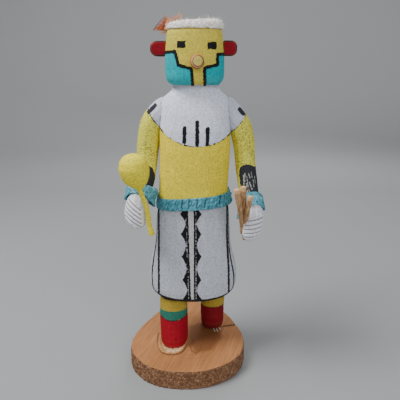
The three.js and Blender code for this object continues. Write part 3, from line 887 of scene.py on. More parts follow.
@dataclass
class Kilt:
    """The white kilt: black hem, side lines, and a stepped braid down the front."""

    side_hem: float = 84.6
    dip: float = 6.6
    front_depth: float = 29.0
    front_ends: float = -9.0
    top: float = 187.4
    top_slope: float = 0.11
    under_hem: float = 1.2
    black_under_hem: float = 2.5
    hem_line: float = 4.4
    line: float = 1.15
    front_lines: tuple[Line, ...] = (
        ((-28.9, 190.0), (-29.1, 144.0), (-29.5, 116.0), (-30.4, 78.0)),
        ((42.0, 190.0), (42.5, 144.0), (44.2, 119.0), (45.4, 80.0)),
    )
    side_lines: tuple[Line, ...] = (
        ((-7.0, 190.0), (-8.5, 164.0), (-12.5, 140.0), (-15.5, 117.0), (-15.0, 84.0)),
        ((0.0, 190.0), (-1.0, 150.0), (-4.0, 117.0), (-5.0, 84.0)),
    )
    faces_aside: float = 0.45
    tips: tuple[float, ...] = (177.0, 156.2, 131.8, 105.6, 83.4)
    waists: tuple[float, ...] = (189.0, 167.2, 144.0, 118.8, 93.8)
    sharp: float = 1.7
    left_tip: Span = (-6.3, -3.9)
    left_waist: Span = (-1.0, 0.6)
    right_tip: Span = (15.8, 15.2)
    right_waist: Span = (10.9, 11.0)
    strip_left: Span = (2.1, 4.4)
    strip_right: Span = (7.7, 7.5)
    span: Span = (180.0, 80.0)
    braid_seam: float = 2.3
    seam: float = 0.25

    def braid(self, height: np.ndarray) -> np.ndarray:
        """Return how far the braid's edge steps out at a height: 0 at a waist, 1 at a tip.

        Args:
            height: Heights in millimetres.

        Returns:
            Shares between 0 and 1.
        """
        levels = sorted([*((z, 1.0) for z in self.tips), *((z, 0.0) for z in self.waists)])
        share = np.interp(height, [z for z, _ in levels], [value for _, value in levels])
        return share**self.sharp

    def paint(self, surface: Surface) -> np.ndarray:
        """Paint the kilt's field and return its black lines.

        Args:
            surface: The carved body.

        Returns:
            A field above 0 on the black.
        """
        x, y, z = surface.at.T
        forward = np.clip(-y / self.front_depth, 0, 1)
        hem = self.side_hem - self.dip * forward**2
        top = self.top + self.top_slope * x
        inside = np.minimum(z - hem + self.under_hem, top - z)
        surface.paint("kilt", inside)
        front = y < self.front_ends
        black = self.hem_line - (z - hem)
        lines = strokes(surface.front, self.front_lines, self.line)
        black = np.where(front, np.maximum(black, lines), black)
        sideways = np.abs(surface.facing[:, 0]) > self.faces_aside
        lines = strokes(surface.at[:, [1, 2]], self.side_lines, self.line)
        black = np.where(sideways, np.maximum(black, lines), black)
        step = self.braid(z)

        def along(ends: Span) -> np.ndarray:
            """Return a line's place across at each height."""
            return np.interp(z, self.span[::-1], ends[::-1])

        left_edge = along(self.left_waist) + (along(self.left_tip) - along(self.left_waist)) * step
        right_edge = along(self.right_waist) + (along(self.right_tip) - along(self.right_waist)) * step
        strip_left, strip_right = along(self.strip_left), along(self.strip_right)
        left = np.minimum(x - left_edge, strip_left - x)
        right = np.minimum(x - strip_right, right_edge - x)
        strip = np.minimum(x - strip_left, strip_right - x)
        surface.paint("strip", np.where(front, np.minimum(strip, inside), -FAR))
        left_seam = np.abs(x - strip_left + self.braid_seam)
        right_seam = np.abs(x - strip_right - self.braid_seam)
        seam = np.minimum(left_seam, right_seam)
        braid = np.minimum(np.maximum(left, right), seam - self.seam)
        black = np.where(front, np.maximum(black, braid), black)
        black[z < hem - self.black_under_hem] = -FAR
        return np.minimum(black, top - z)


@dataclass
class Legs:
    """Yellow legs in red boots: one with a turquoise band and a pale sole. Legs and left boot carry painted
    shade.
    """

    between: float = 13.0
    right_band: Span = (54.6, 65.0)
    band_rise: float = 3.0
    shaded_left_boot: float = 55.2
    middle: float = -15.5
    half_width: float = 14.5
    sole: float = 24.2
    sole_rise: float = 2.2
    welt: float = 0.85
    rim: float = 0.5
    leg_top: float = 84.0

    def paint(self, surface: Surface) -> np.ndarray:
        """Paint boots, band and sole, and return the dark lines between them.

        Args:
            surface: The carved body.

        Returns:
            A field above 0 on the dark lines.
        """
        x, _, z = surface.at.T
        right = x < self.between
        aside = np.abs(x - self.middle) / self.half_width
        low = self.right_band[0] + self.band_rise * aside**2
        below = self.sole + self.sole_rise * aside**4 - z
        surface.paint("boot", np.where(right, low - z, self.shaded_left_boot - z))
        surface.paint("band", np.where(right, np.minimum(z - low, self.right_band[1] - z), -FAR))
        surface.paint("sole", np.where(right, below, -FAR))
        surface.paint("welt", np.where(right, np.minimum(below, self.welt - below), -FAR))
        # The left boot is marked for a darker red, and the legs for a darker yellow, as painted shade under
        # the kilt.
        surface.paint("shaded_left_boot", np.where(right, -FAR, self.shaded_left_boot - z))
        surface.paint("shaded_leg", self.leg_top - z)
        return self.rim - np.where(right, np.abs(z - low), np.abs(z - self.shaded_left_boot))


@dataclass
class Figure(Carved):
    """Head, trunk, kilt and legs: one carving, painted."""

    cape: Cape = field(default_factory=Cape)
    mask: Mask = field(default_factory=Mask)
    kilt: Kilt = field(default_factory=Kilt)
    legs: Legs = field(default_factory=Legs)
    specked_below: float = 0.45
    specked_above: float = 0.85

    def patterns(self, surface: Surface) -> None:
        """Paint face, cape, kilt and boots."""
        parts = (self.cape, self.mask, self.kilt, self.legs)
        surface.paint("black", np.max([part.paint(surface) for part in parts], axis=0))
        on_head = surface.height - self.mask.collar
        surface.paint("face", on_head)
        surface.paint("speckled", np.where(on_head > 0, self.specked_above, self.specked_below))

    def finish(self) -> bpy.types.Material:
        """Return the body's paint."""
        return EarthPaint(
            "body paint", YELLOW,
            (
                Coat("face", FACE_YELLOW),
                # Painted shade: legs darker under the kilt, partly their own more orange paint.
                Coat("shaded_leg", SHADED_LEG_YELLOW),
                Coat("cape", CAPE_WHITE),
                Coat("kilt", KILT_WHITE),
                Coat("strip", STRIP_WHITE),
                Coat("jaw", TURQUOISE),
                Coat("boot", RED),
                Coat("band", BAND_GREEN),
                # Painted shade: the left boot in a darker red.
                Coat("shaded_left_boot", SHADED_LEFT_BOOT_RED),
                Coat("sole", SOLE_WOOD),
                Coat("welt", WELT_WOOD),
                Coat("black", BLACK, 0.7, 0.16),
            ),
            speck_share=0.07,
        ).material()


class Side(Enum):
    """The doll's own sides, and which way each lies across the picture."""

    RIGHT = -1
    LEFT = 1


@dataclass
class Arm(Carved):
    """An arm: yellow and specked, a white cape shoulder, a black forearm and a white hand."""

    side: Side = Side.RIGHT
    cape: Cape = field(default_factory=Cape)
    wrist: float = 201.0
    wrist_fade: float = 8.0
    armpit: float = 238.0
    armpit_fade: float = 6.0
    glue: float = 0.3
    arm_shade: float = 0.12
    hand_marks: float = 0.3
    speck_fade: float = 4.0
    patch: Line = ()
    streaks: tuple[Line, ...] = ()
    streak: float = 0.36

    def shade_weight(self, surface: Surface) -> np.ndarray:
        """Return how strongly the painted shade is laid: most of all in the finger cuts."""
        return np.where(surface.height < self.wrist, 1.0, self.arm_shade)

    def relief(self, surface: Surface) -> np.ndarray:
        """Return the knife's marks, faint on the hand, where the finger cuts are fine."""
        calm = np.clip((surface.height - self.wrist) / self.wrist_fade, 0, 1)
        shoulder = np.clip((surface.height - self.armpit) / self.armpit_fade, 0, 1)
        marks = self.hand_marks + (1 - self.hand_marks) * calm
        return super().relief(surface) * marks + self.glue * shoulder

    def patterns(self, surface: Surface) -> None:
        """Paint shoulder, forearm and hand."""
        surface.paint("black", self.cape.paint(surface))
        surface.paint("patch", within(surface.front, self.patch))
        pale = strokes(surface.front, self.streaks, self.streak)
        pale[surface.behind] = -FAR
        surface.paint("streak", pale)
        surface.paint("hand", self.wrist - surface.height)
        surface.paint("speckled", np.clip((surface.height - self.wrist) / self.speck_fade, 0, 1))

    def finish(self) -> bpy.types.Material:
        """Return the arm's paint."""
        return EarthPaint(
            self.side.name.lower() + " arm paint", ARM_YELLOW,
            (
                Coat("cape", CAPE_WHITE),
                Coat("patch", BLACK, 0.5, 0.14),
                Coat("streak", STREAK_GREY, 0.5, 0.2),
                Coat("hand", HAND_WHITE),
                Coat("black", BLACK, 0.5, 0.1),
            ),
            # Painted shade in the finger cuts, grey-blue, laid strongly on the hands only.
            speck=ARM_SPECK, speck_share=0.1, hollow_shade=FINGER_CUT_SHADE, hollow_shade_level=0.05,
        ).material()


@dataclass
class Ear(Carved):
    """A red wooden ear with a darker rim along its edges."""

    side: Side = Side.RIGHT
    rim: float = 1.3

    def patterns(self, surface: Surface) -> None:
        """Paint the darker rim along the top, bottom and outer edge of the front face."""
        low, high = surface.at.min(axis=0), surface.at.max(axis=0)
        up = np.minimum(surface.height - low[2], high[2] - surface.height)
        across = surface.at[:, 0]
        outer = (high[0] - across) if self.side is Side.LEFT else (across - low[0])
        surface.paint("rim", self.rim - np.minimum(up, outer))

    def finish(self) -> bpy.types.Material:
        """Return the ear's paint."""
        rim = Coat("rim", EAR_RIM_RED, 0.6, 0.3)
        name = self.side.name.lower() + " ear paint"
        return EarthPaint(name, EAR_RED, (rim,), streaks=(0.2, 1.0, 1.0)).material()


@dataclass
class MouthTube(Carved):
    """The round mouth: a yellow end inside a pinkish rim."""

    disc: float = 4.6
    centre: Place2 = (12.1, 323.8)
    rim_depth: float = 2.2
    ring_line: float = 0.35
    side_line: float = 0.4
    side_line_depth: float = 2.4

    def patterns(self, surface: Surface) -> None:
        """Paint the brown side, the rim and the dark lines beside it."""
        depth = surface.at[:, 1] - surface.at[:, 1].min()
        inner = np.linalg.norm(surface.front - self.centre, axis=1) - self.disc
        surface.paint("rim", np.minimum(inner, self.rim_depth - depth))
        surface.paint("side", depth - self.rim_depth)
        ring = self.ring_line - np.abs(inner)
        surface.paint("line", np.maximum(ring, self.side_line - np.abs(depth - self.side_line_depth)))

    def finish(self) -> bpy.types.Material:
        """Return the mouth's paint."""
        return EarthPaint(
            "mouth paint", MOUTH_YELLOW,
            (
                Coat("side", MOUTH_SIDE, 0.4, 0.1),
                Coat("rim", MOUTH_RIM, 0.4, 0.1),
                Coat("line", MOUTH_LINE, 0.4, 0.2),
            ),
        ).material()


@dataclass
class Rattle(Carved):
    """The gourd rattle and its handle, brushed yellow."""

    specked: float = 0.7

    def patterns(self, surface: Surface) -> None:
        """Mark the whole rattle as lightly specked."""
        surface.paint("speckled", np.full(len(surface.at), self.specked))

    def finish(self) -> bpy.types.Material:
        """Return the rattle's paint."""
        return EarthPaint(
            "rattle paint", GOURD_YELLOW, speck=GOURD_SPECK, speck_share=0.07, streaks=(0.5, 0.5, 1.0),
        ).material()


@dataclass
class WoodSlice(Carved):
    """The sawn slice of branch with its bark, crack and marks."""

    bark_relief: float = 0.9
    bark_level: float = 0.35
    crust: tuple[Lumps, ...] = (Lumps(1.0, 5.0, 31.0, 3, (1, 1, 0.6)), Lumps(0.6, 1.9, 41.0))
    saw_marks: Lumps = Lumps(0.05, 1.5, 5.0, 1)
    faces_up: float = 0.75
    top_depth: float = 6.0
    crack_width: float = 1.2
    knot_width: float = 0.9
    pencil_width: float = 0.5
    smudge_width: float = 1.1
    glue_width: float = 0.65
    crack: Line = ((40.5, 13.6), (52.0, 15.6), (63.0, 18.6), (72.0, 21.5))
    knot: Line = ((2.8, -22.9), (5.0, -34.0), (9.7, -38.0), (13.8, -33.0), (15.1, -22.9))
    pencil: tuple[Line, ...] = (
        (
            (-35.2, 2.0), (-35.4, -8.0), (-33.6, -22.0), (-28.8, -36.6),
            (-17.0, -42.6), (-7.0, -38.6), (-1.6, -30.1),
        ),
        ((-39.3, 37.5), (-47.4, 26.3), (-53.3, 12.3)),
    )
    smudge: Line = ((-34.2, 0.0), (-34.7, -9.8), (-31.8, -21.1))
    glue: tuple[Line, ...] = (
        ((30.1, 9.3), (31.7, 3.1)), ((33.2, 10.3), (35.0, 3.1)), ((36.8, 11.4), (38.1, 7.2)),
    )
    # Outline of the painted shadow that kilt and boots cast on the slice, partly a real stain.
    shadow_and_stain: Line = (
        (0.8, 14.4), (20.1, 23.0), (36.8, 12.3), (39.3, -9.8), (27.2, -31.9), (9.6, -37.1), (2.8, -22.9),
    )

    def patterns(self, surface: Surface) -> None:
        """Paint bark, crack, knot, pencil lines, glue, and the doll's painted shadow, partly a real stain.
        """
        plan = surface.at[:, :2]
        upright = np.abs(surface.facing[:, 2]) < self.faces_up
        surface.paint("bark", np.where(upright, 1.0, 0.0))
        pencil = strokes(plan, self.pencil, self.pencil_width)
        fields = {
            "crack": strokes(plan, (self.crack,), self.crack_width),
            "knot": strokes(plan, (self.knot,), self.knot_width),
            "pencil": np.maximum(pencil, strokes(plan, (self.smudge,), self.smudge_width)),
            "glue": strokes(plan, self.glue, self.glue_width),
            "shadow_and_stain": within(plan, self.shadow_and_stain),
        }
        upper = surface.height > surface.height.max() - self.top_depth
        for name, values in fields.items():
            surface.paint(name, np.where(upper, values, -FAR))

    def relief(self, surface: Surface) -> np.ndarray:
        """Return the bark's crust, which fades out on the sawn faces, and the saw's faint marks."""
        barked = np.clip(1.4 - 1.8 * np.abs(surface.facing[:, 2]), 0, 1)
        crust = surface.ripple(*self.crust) - self.bark_level
        return self.bark_relief * barked * crust + surface.ripple(self.saw_marks)

    def finish(self) -> bpy.types.Material:
        """Return the slice's material."""
        return SawnBranch("branch wood").material()


@dataclass
class LeatherStrip(Carved):
    """A strip of painted leather: the slit belt, or a cuff that folds over a wrist."""

    edge: float = 0.8
    fold_highlight: float = 0.38
    folds: tuple[Line, ...] = ()
    lower_lines: tuple[Line, ...] = ()
    creases: tuple[Lumps, ...] = (Lumps(0.35, 4.0, 17.0), Lumps(0.18, 1.4, 27.0))

    def patterns(self, surface: Surface) -> None:
        """Paint the painted shade along the lower edges and slits, and the painted highlight along the
        folds.
        """
        surface.paint("edge", strokes(surface.front, self.lower_lines, self.edge))
        surface.paint("fold_highlight", strokes(surface.front, self.folds, self.fold_highlight))

    def relief(self, surface: Surface) -> np.ndarray:
        """Return the leather's waves and creases."""
        return surface.ripple(*self.creases)

    def finish(self) -> bpy.types.Material:
        """Return the leather."""
        return PaintedLeather(self.name + " leather").material()


@dataclass
class Stick(Carved):
    """A bare twig with a pale, split upper end."""

    split: float = 4.0
    bark: float = 0.6
    ridges: tuple[Lumps, ...] = (Lumps(0.3, 1.8, 13.0, 2, (1, 1, 0.2)), Lumps(0.25, 6.0, 23.0, 1))

    def patterns(self, surface: Surface) -> None:
        """Paint the pale end, measured down from the top."""
        surface.paint("split", surface.height - surface.height.max() + self.split)

    def relief(self, surface: Surface) -> np.ndarray:
        """Return the bark's thickness and its ridges along the twig."""
        return self.bark + surface.ripple(*self.ridges)

    def finish(self) -> bpy.types.Material:
        """Return the twig's bark."""
        return TwigBark(self.name + " bark").material()


def grow(work: bmesh.types.BMesh, route: Sequence[Vector], radii: Sequence[float], sides: int = 4,
         flat: float = 1.0) -> list[bmesh.types.BMVert]:
    """Grow a closed tapering strand along a route.

    Args:
        work: The mesh that takes it.
        route: Its points in metres.
        radii: Its radius at each point.
        sides: How many sides it has.
        flat: How thick it is across, as a share of its width.

    Returns:
        The strand's points.
    """
    heading = (route[1] - route[0]).to_track_quat("Z", "Y").to_matrix().to_4x4()
    start = Matrix.Translation(route[0]) @ heading @ Matrix.Diagonal((radii[0], radii[0] * flat, 1, 1))
    ring = bmesh.ops.create_circle(work, cap_ends=True, segments=sides, radius=1.0, matrix=start)["verts"]
    made = list(ring)
    cap = next(face for face in ring[0].link_faces if len(face.verts) == sides)
    cap.normal_update()
    for before, after, old, new in zip(route, route[1:], radii, radii[1:]):
        grown = bmesh.ops.extrude_face_region(work, geom=[cap])["geom"]
        cap = next(item for item in grown if isinstance(item, bmesh.types.BMFace))
        verts = list(cap.verts)
        made.extend(verts)
        bmesh.ops.translate(work, verts=verts, vec=after - before)
        bmesh.ops.scale(work, verts=verts, vec=(new / old,) * 3, space=Matrix.Translation(-after))
    return made


def scatter(draw: random.Random, spread: Spread) -> Vector:
    """Return a place or a step drawn at random, in metres.

    Args:
        draw: The seeded draws.
        spread: For each axis its two ends, or one fixed value, in millimetres.

    Returns:
        The place or step.
    """
    return Vector([draw.uniform(*ends) if isinstance(ends, tuple) else ends for ends in spread]) * MM


@dataclass
class FleeceRoll(Carved):
    """The roll of fleece round the crown, with curled locks standing off it."""

    curls: Lumps = Lumps(1.4, 4.2, 51.0)
    curl_height: float = 0.9
    fuzz: Lumps = Lumps(0.45, 1.6, 61.0)
    locks: int = 900
    lock_length: float = 3.2
    lock_sizes: Span = (0.5, 1.15)
    lock_curls: Span = (0.6, 1.6)
    lock_root: float = 0.3
    lock_radii: tuple[float, ...] = (0.2, 0.19, 0.16, 0.11, 0.04)
    lowest_facing: float = -0.2
    wisps: tuple[Place2, ...] = ((14.0, 5.2), (18.5, 7.0), (22.5, 6.2), (26.0, 4.0))
    strands: int = 6
    wisp_foot: float = 357.5
    wisp_root: float = 3.0
    wisp_sizes: Span = (0.6, 1.0)
    wisp_curl: float = 0.5

    def relief(self, surface: Surface) -> np.ndarray:
        """Return the lumps of the curls."""
        furrows = np.abs(surface.ripple(self.curls))
        return self.curl_height * (0.5 - furrows) + surface.ripple(self.fuzz)

    def add_locks(self, piece: bpy.types.Object) -> None:
        """Set small curled locks all over the roll, and longer wisps on its top.

        Args:
            piece: The carved roll.
        """
        draw = random.Random(SEED)
        work = bmesh.new()
        work.from_mesh(piece.data)
        work.faces.ensure_lookup_table()
        seats = draw.sample(range(len(work.faces)), self.locks)
        roots = [(work.faces[i].calc_center_median(), work.faces[i].normal.copy()) for i in seats]
        for root, normal in roots:
            if normal.z < self.lowest_facing:
                continue
            aside = normal.cross(Vector([draw.uniform(-1, 1) for _ in range(3)])).normalized()
            length = self.lock_length * draw.uniform(*self.lock_sizes) * MM
            foot = root - normal * self.lock_root * MM
            self.lock(work, foot, normal, aside, length, draw.uniform(*self.lock_curls))
        for across, rise in self.wisps:
            for _ in range(self.strands):
                root = Vector((across, 0.0, self.wisp_foot)) * MM + scatter(draw, ((-2.5, 2.5), (-8, 2), 0))
                lean = Vector((draw.uniform(-0.7, 0.7), draw.uniform(-0.3, 0.3), 1.0)).normalized()
                aside = lean.cross(Vector((0, 1, 0))).normalized() * draw.choice((-1, 1))
                length = (rise + self.wisp_root) * MM * draw.uniform(*self.wisp_sizes)
                self.lock(work, root, lean, aside, length, self.wisp_curl)
        for face in work.faces:
            face.smooth = True
        work.to_mesh(piece.data)
        work.free()

    def lock(self, work: bmesh.types.BMesh, root: Vector, normal: Vector, aside: Vector, length: float,
             curl: float) -> None:
        """Grow one lock.

        Args:
            work: The mesh that takes it.
            root: Where it starts.
            normal: The way it stands off.
            aside: The way it curls.
            length: Its length in metres.
            curl: How far it curls over, in radians.
        """
        steps = len(self.lock_radii) - 1
        route = [root]
        for step in range(steps):
            turn = curl * (step + 0.5) / steps
            route.append(route[-1] + (normal * math.cos(turn) + aside * math.sin(turn)) * length / steps)
        grow(work, route, [radius * MM for radius in self.lock_radii], 3)

    def build(self) -> bpy.types.Object:
        """Carve the roll, shade its hollows and set its locks.

        Returns:
            The finished object.
        """
        piece = self.rough_out()
        surface = Surface(piece.data)
        surface.press(self.relief(surface))
        self.shadow(Surface(piece.data))
        self.add_locks(piece)
        return self.settle(piece, self.finish())

    def finish(self) -> bpy.types.Material:
        """Return the fleece."""
        return SoftFleece("fleece").material()


@dataclass(frozen=True)
class Barbs:
    """One kind of barb: how many, half their width, and where roots, ends and bows are spread."""

    count: int
    width: float
    roots: Spread
    ends: Spread
    bow: Spread


@dataclass
class Feather(Piece):
    """A small feather behind the ear: a dark quill, rusty vane and pale fluff."""

    quill_foot: Place3 = (-31.0, 7.2, 352.6)
    quill_tip: Place3 = (-19.6, 7.0, 365.4)
    quill_bow: Place3 = (-0.3, 0.0, 0.5)
    quill_width: float = 0.75
    root: Place3 = (-14.0, 7.0, 351.2)
    crest: Line = ((-19.6, 365.4), (-13.5, 366.8), (-9.0, 366.0), (-4.5, 370.5), (-1.0, 367.5))
    crest_crowd: float = 1.3
    crest_reach: Span = (0.62, 1.0)
    crest_lean: float = 4.0
    vane: Barbs = Barbs(
        190, 0.3, ((-2, 3), (-0.6, 0.6), (0, 1.6)),
        ((-0.6, 1.2), (-1, 1), (-1, 1)), (0, (-0.8, 0.8), (0.2, 1.6)),
    )
    fluff: Barbs = Barbs(
        190, 0.3, ((-3, 3), (-0.6, 0.6), (0, 3)),
        ((-1.5, 1.5), (-1.5, 1.5), 0), ((-1.2, 0.8), (-0.6, 0.6), (0, 1)),
    )
    strays: Barbs = Barbs(
        30, 0.24, ((-3, 1), (-0.4, 0.4), 0), ((0, 4), 0, (-6, -1)), (0, 0, -0.6),
    )
    down: Barbs = Barbs(
        46, 0.24, ((-19, -15), (-4, 4), (353, 357)),
        ((1, 11), (-6, 0), (3, 9)), (0, (-1.5, 0), (0, 1.5)),
    )
    vane_thicker: Span = (1.0, 2.0)
    dark_every: int = 15
    dark_shade: float = 0.9
    barb_steps: int = 5
    barb_taper: float = 0.85
    barb_flat: float = 0.5

    def barb(self, work: bmesh.types.BMesh, ends: tuple[Vector, Vector], bow: Vector, width: float,
             looks: Span) -> None:
        """Grow one curved barb and store its looks.

        Args:
            work: The mesh that takes it.
            ends: Its root and its tip in metres.
            bow: How far its middle is pushed aside, in metres.
            width: Its half width in millimetres.
            looks: How pale and how dark it is.
        """
        shares = [step / self.barb_steps for step in range(self.barb_steps + 1)]
        route = [ends[0].lerp(ends[1], share) + bow * (4 * share * (1 - share)) for share in shares]
        radii = [width * MM * (1 - self.barb_taper * share) for share in shares]
        fluff, dark = (work.verts.layers.float[name] for name in ("fluff", "dark"))
        for vert in grow(work, route, radii, 4, self.barb_flat):
            vert[fluff], vert[dark] = looks

    def add_vane(self, work: bmesh.types.BMesh, draw: random.Random) -> None:
        """Grow the quill and the rusty vane from it down to the root.

        Args:
            work: The mesh that takes them.
            draw: The seeded draws.
        """
        foot, tip, root, bow = (
            Vector(spot) * MM for spot in (self.quill_foot, self.quill_tip, self.root, self.quill_bow)
        )
        self.barb(work, (foot, tip), bow, self.quill_width, (0.0, 1.0))
        for index in range(self.vane.count):
            share = (index + draw.random()) / self.vane.count
            end = foot.lerp(tip, share) + scatter(draw, self.vane.ends)
            start = root + scatter(draw, self.vane.roots)
            bow = scatter(draw, self.vane.bow)
            width = self.vane.width * draw.uniform(*self.vane_thicker)
            self.barb(work, (start, end), bow, width, (draw.uniform(0, 0.4), 0.0))

    def add_fluff(self, work: bmesh.types.BMesh, draw: random.Random) -> None:
        """Grow the pale fluff up to the crest, with a dark barb now and then.

        Args:
            work: The mesh that takes it.
            draw: The seeded draws.
        """
        root = Vector(self.root) * MM
        for index in range(self.fluff.count):
            share = draw.random() ** self.crest_crowd
            spot = share * (len(self.crest) - 1.001)
            low, high = self.crest[int(spot)], self.crest[int(spot) + 1]
            across, up = (low[i] + (high[i] - low[i]) * (spot % 1) for i in (0, 1))
            start = root + scatter(draw, self.fluff.roots) + Vector((self.crest_lean * share, 0, 0)) * MM
            end = Vector((across, self.root[1], up)) * MM + scatter(draw, self.fluff.ends)
            end = start.lerp(end, draw.uniform(*self.crest_reach))
            bow = scatter(draw, self.fluff.bow)
            shade = 0.0 if index % self.dark_every else self.dark_shade
            self.barb(work, (start, end), bow, self.fluff.width, (0.15 + 0.7 * share, shade))

    def add_down(self, work: bmesh.types.BMesh, draw: random.Random) -> None:
        """Grow the stray barbs under the quill and the down beside the mask.

        Args:
            work: The mesh that takes them.
            draw: The seeded draws.
        """
        foot, tip, root = (Vector(spot) * MM for spot in (self.quill_foot, self.quill_tip, self.root))
        for _ in range(self.strays.count):
            end = foot.lerp(tip, draw.uniform(0, 0.7)) + scatter(draw, self.strays.ends)
            start = root + scatter(draw, self.strays.roots)
            bow = scatter(draw, self.strays.bow)
            self.barb(work, (start, end), bow, self.strays.width, (0.9, 0.0))
        for _ in range(self.down.count):
            start = scatter(draw, self.down.roots)
            end = start + scatter(draw, self.down.ends)
            bow = scatter(draw, self.down.bow)
            self.barb(work, (start, end), bow, self.down.width, (draw.uniform(0.5, 1.0), 0.0))

    def build(self) -> bpy.types.Object:
        """Grow quill, vane and fluff.

        Returns:
            The finished object.
        """
        draw = random.Random(SEED + 1)
        work = bmesh.new()
        work.verts.layers.float.new("fluff")
        work.verts.layers.float.new("dark")
        self.add_vane(work, draw)
        self.add_fluff(work, draw)
        self.add_down(work, draw)
        bmesh.ops.recalc_face_normals(work, faces=work.faces)
        mesh = bpy.data.meshes.new(self.name)
        work.to_mesh(mesh)
        work.free()
        piece = bpy.data.objects.new(self.name, mesh)
        bpy.context.scene.collection.objects.link(piece)
        return self.settle(piece, Plume("feather").material())


@dataclass
class Studio:
    """A pale floor that sweeps up behind with painted light at its back, soft lights, the camera. Sizes are
    in metres.
    """

    camera_place: Place3 = (0.014, -0.4368, 0.3159)
    camera_tilt: float = math.radians(73.2)
    lens: float = 38.7
    sensor: float = 36.0
    nearest: float = 0.01
    floor_size: float = 9.0
    floor_rows: int = 60
    floor_front: float = 2.0
    floor_back: float = 1.3
    sweep_radius: float = 0.9
    wall_height: float = 2.0
    # The paper near the doll, and the lighter paper at the back, which is painted light.
    near_paper: Colour = tint(158, 160, 161)
    painted_light_paper: Colour = tint(222, 223, 224)
    painted_light_from: float = 1.5
    painted_light_over: float = 1.6
    lights: tuple[tuple[Place3, float, float], ...] = (
        ((-0.62, -0.20, 1.25), 0.5, 17.0),
        ((0.45, -1.00, 0.70), 0.9, 5.5),
        ((0.3, 1.0, 0.9), 0.8, 6.0),
    )
    aim: Place3 = (0.01, 0.0, 0.17)
    sky: Colour = tint(172, 173, 174)
    sky_strength: float = 0.75

    def floor_place(self, share: float) -> Place2:
        """Return how far back and how high a share of the paper's length lies.

        Args:
            share: From 0 at the front end to 1 at the top end.

        Returns:
            The two distances in metres.
        """
        quarter = math.pi / 2
        flat = self.floor_front + self.floor_back
        run = share * (flat + self.sweep_radius * quarter + self.wall_height) - self.floor_front
        past = max(run - self.floor_back, 0.0)
        bend = min(past / self.sweep_radius, quarter)
        rest = max(past - self.sweep_radius * quarter, 0.0)
        back = min(run, self.floor_back) + self.sweep_radius * math.sin(bend)
        return back, self.sweep_radius * (1 - math.cos(bend)) + rest

    def add_floor(self) -> None:
        work = bmesh.new()
        bmesh.ops.create_grid(work, x_segments=1, y_segments=self.floor_rows, size=1.0)
        for vert in work.verts:
            back, up = self.floor_place((vert.co.y + 1) / 2)
            vert.co = Vector((vert.co.x * self.floor_size / 2, back, up))
        for face in work.faces:
            face.smooth = True
        mesh = bpy.data.meshes.new("floor")
        work.to_mesh(mesh)
        work.free()
        floor = bpy.data.objects.new("floor", mesh)
        bpy.context.scene.collection.objects.link(floor)
        # Painted light: the paper grows lighter towards the back, where it sweeps up into a wall.
        box = Paintbox("floor paper", 0.9, 0.1)
        cloud = box.grain(400.0, 1.0)
        across = box.node("ShaderNodeSeparateXYZ", {}, {0: box.place}, "Y")
        paper = box.blend(across.above(self.painted_light_from, self.painted_light_over), self.near_paper, self.painted_light_paper)
        mesh.materials.append(box.finish(box.shade(paper, cloud, 0.97, 1.02), cloud, 0.01))
        floor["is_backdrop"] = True

    def add_lights(self) -> None:
        """Hang the soft lights and set the light of the room."""
        scene = bpy.context.scene
        for index, (place, size, power) in enumerate(self.lights):
            data = bpy.data.lights.new(f"softbox_{index}", "AREA")
            data.size = size
            data.energy = power
            lamp = bpy.data.objects.new(data.name, data)
            lamp.location = place
            lamp.rotation_euler = (Vector(self.aim) - Vector(place)).to_track_quat("-Z", "Y").to_euler()
            scene.collection.objects.link(lamp)
        world = bpy.data.worlds.new("room light")
        world.use_nodes = True
        back = world.node_tree.nodes["Background"]
        back.inputs["Color"].default_value = (*self.sky, 1.0)
        back.inputs["Strength"].default_value = self.sky_strength
        scene.world = world

    def add_camera(self) -> None:
        """Stand the camera in front of the doll."""
        scene = bpy.context.scene
        data = bpy.data.cameras.new("camera")
        data.sensor_width = self.sensor
        data.lens = self.lens
        data.clip_start = self.nearest
        camera = bpy.data.objects.new("camera", data)
        camera.location = self.camera_place
        camera.rotation_euler = (self.camera_tilt, 0.0, 0.0)
        scene.collection.objects.link(camera)
        scene.camera = camera

    def build(self) -> None:
        """Set the floor, the lights and the camera."""
        self.add_floor()
        self.add_lights()
        self.add_camera()


LEFT_PATCH = (
    (54.0, 221.6), (57.0, 224.4), (60.8, 225.6), (65.0, 225.0), (69.0, 222.4), (90.0, 222.0),
    (90.0, 180.0), (57.5, 180.0), (56.4, 198.0), (54.6, 205.0), (53.4, 214.0),
)
RIGHT_PATCH = (
    (-90.0, 222.0), (-46.0, 223.0), (-38.0, 224.5), (-34.0, 222.0), (-32.0, 216.0),
    (-31.6, 205.0), (-31.0, 185.0), (-90.0, 185.0),
)
LEFT_STREAKS = (
    ((59.0, 217.0), (58.6, 209.0)),
    ((62.5, 217.0), (63.8, 213.0)),
    ((60.5, 214.5), (62.0, 204.0), (64.5, 198.0)),
    ((67.0, 211.0), (67.6, 205.0)),
    ((57.5, 215.0), (57.8, 207.0)),
    ((60.2, 208.0), (61.5, 199.0)),
    ((63.2, 209.0), (65.6, 203.0)),
    ((65.2, 218.0), (66.2, 213.0)),
    ((58.8, 205.0), (60.0, 199.0)),
    ((68.6, 214.0), (69.4, 208.0)),
)
BELT_SLITS = (
    ((-3.7, 194.4), (-4.3, 184.6)),
    ((3.2, 193.4), (2.6, 184.6)),
    ((11.5, 192.4), (10.5, 184.6)),
    ((19.4, 192.4), (18.5, 185.1)),
    ((34.7, 195.4), (33.3, 187.7)),
)
RIGHT_CUFF_FOLDS = (
    ((-36.0, 207.8), (-31.2, 202.1), (-28.3, 199.0)),
    ((-36.0, 207.8), (-40.3, 201.7), (-41.5, 195.4)),
    ((-30.8, 203.2), (-36.4, 197.0)),
    ((-56.5, 205.0), (-52.2, 202.5), (-47.1, 199.4)),
)
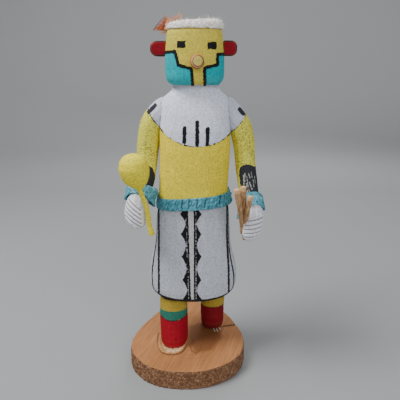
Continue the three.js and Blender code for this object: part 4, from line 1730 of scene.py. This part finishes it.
RIGHT_CUFF_EDGES = (
    ((-41.2, 196.0), (-36.9, 190.8), (-36.1, 184.5)),
    ((-59.6, 193.1), (-56.0, 196.2), (-52.0, 198.7), (-47.0, 199.2)),
)
LEFT_CUFF_FOLDS = (((71.7, 197.0), (79.3, 191.2)), ((71.0, 198.4), (68.2, 193.2), (66.9, 188.0)))
LEFT_CUFF_EDGES = (((63.3, 187.3), (69.2, 187.3), (72.7, 184.7), (75.9, 180.5)),)


def main() -> None:
    """Build the studio and every piece of the doll, in order."""
    logging.basicConfig(level=logging.INFO, format="%(name)s: %(message)s")
    Studio().build()
    pieces: list[Piece] = [
        WoodSlice("wood_slice", ("base",), "branch_wood", voxel=0.85, rounds=2),
        Figure("carved_body", ("body",), "body_paint", voxel=1.15, rounds=9),
        Arm("carved_right_arm", ("right_arm",), "arm_paint", voxel=0.5, rounds=3, side=Side.RIGHT,
            patch=RIGHT_PATCH),
        Arm("carved_left_arm", ("left_arm",), "arm_paint", voxel=0.5, rounds=3, side=Side.LEFT,
            wrist=190.0, patch=LEFT_PATCH, streaks=LEFT_STREAKS),
        Ear("painted_right_ear", ("right_ear",), "ear_paint", voxel=0.5, rounds=3, side=Side.RIGHT),
        Ear("painted_left_ear", ("left_ear",), "ear_paint", voxel=0.5, rounds=3, side=Side.LEFT),
        MouthTube("painted_mouth", ("mouth_tube",), "mouth_paint", voxel=0.35, rounds=3, knife=0.06),
        FleeceRoll("fleece_roll", ("fur_roll",), "fleece", voxel=0.7, rounds=3),
        Feather("plume", ("feather",), "feather_vane"),
        LeatherStrip("slit_belt", ("belt_fringe",), "leather_strip", voxel=0.5, rounds=1, edge=0.7,
                     lower_lines=BELT_SLITS),
        LeatherStrip("folded_right_cuff", ("right_cuff",), "leather_strip", voxel=0.4, rounds=1,
                     folds=RIGHT_CUFF_FOLDS, lower_lines=RIGHT_CUFF_EDGES),
        LeatherStrip("folded_left_cuff", ("left_cuff",), "leather_strip", voxel=0.4, rounds=1,
                     folds=LEFT_CUFF_FOLDS, lower_lines=LEFT_CUFF_EDGES),
        Rattle("gourd_rattle", ("rattle",), "rattle_paint", voxel=0.7, rounds=14),
        Stick("twig_outer", ("twig_1",), "twig_bark", voxel=0.4, rounds=2),
        Stick("twig_middle", ("twig_2",), "twig_bark", voxel=0.4, rounds=2),
        Stick("twig_inner", ("twig_3",), "twig_bark", voxel=0.4, rounds=2),
    ]
    for piece in pieces:
        piece.build()


if __name__ == "__main__":
    main()
    boxes = {"cad": CAD_BOX, "visual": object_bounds()}
    {name: [list(corner) for corner in box] for name, box in boxes.items()}
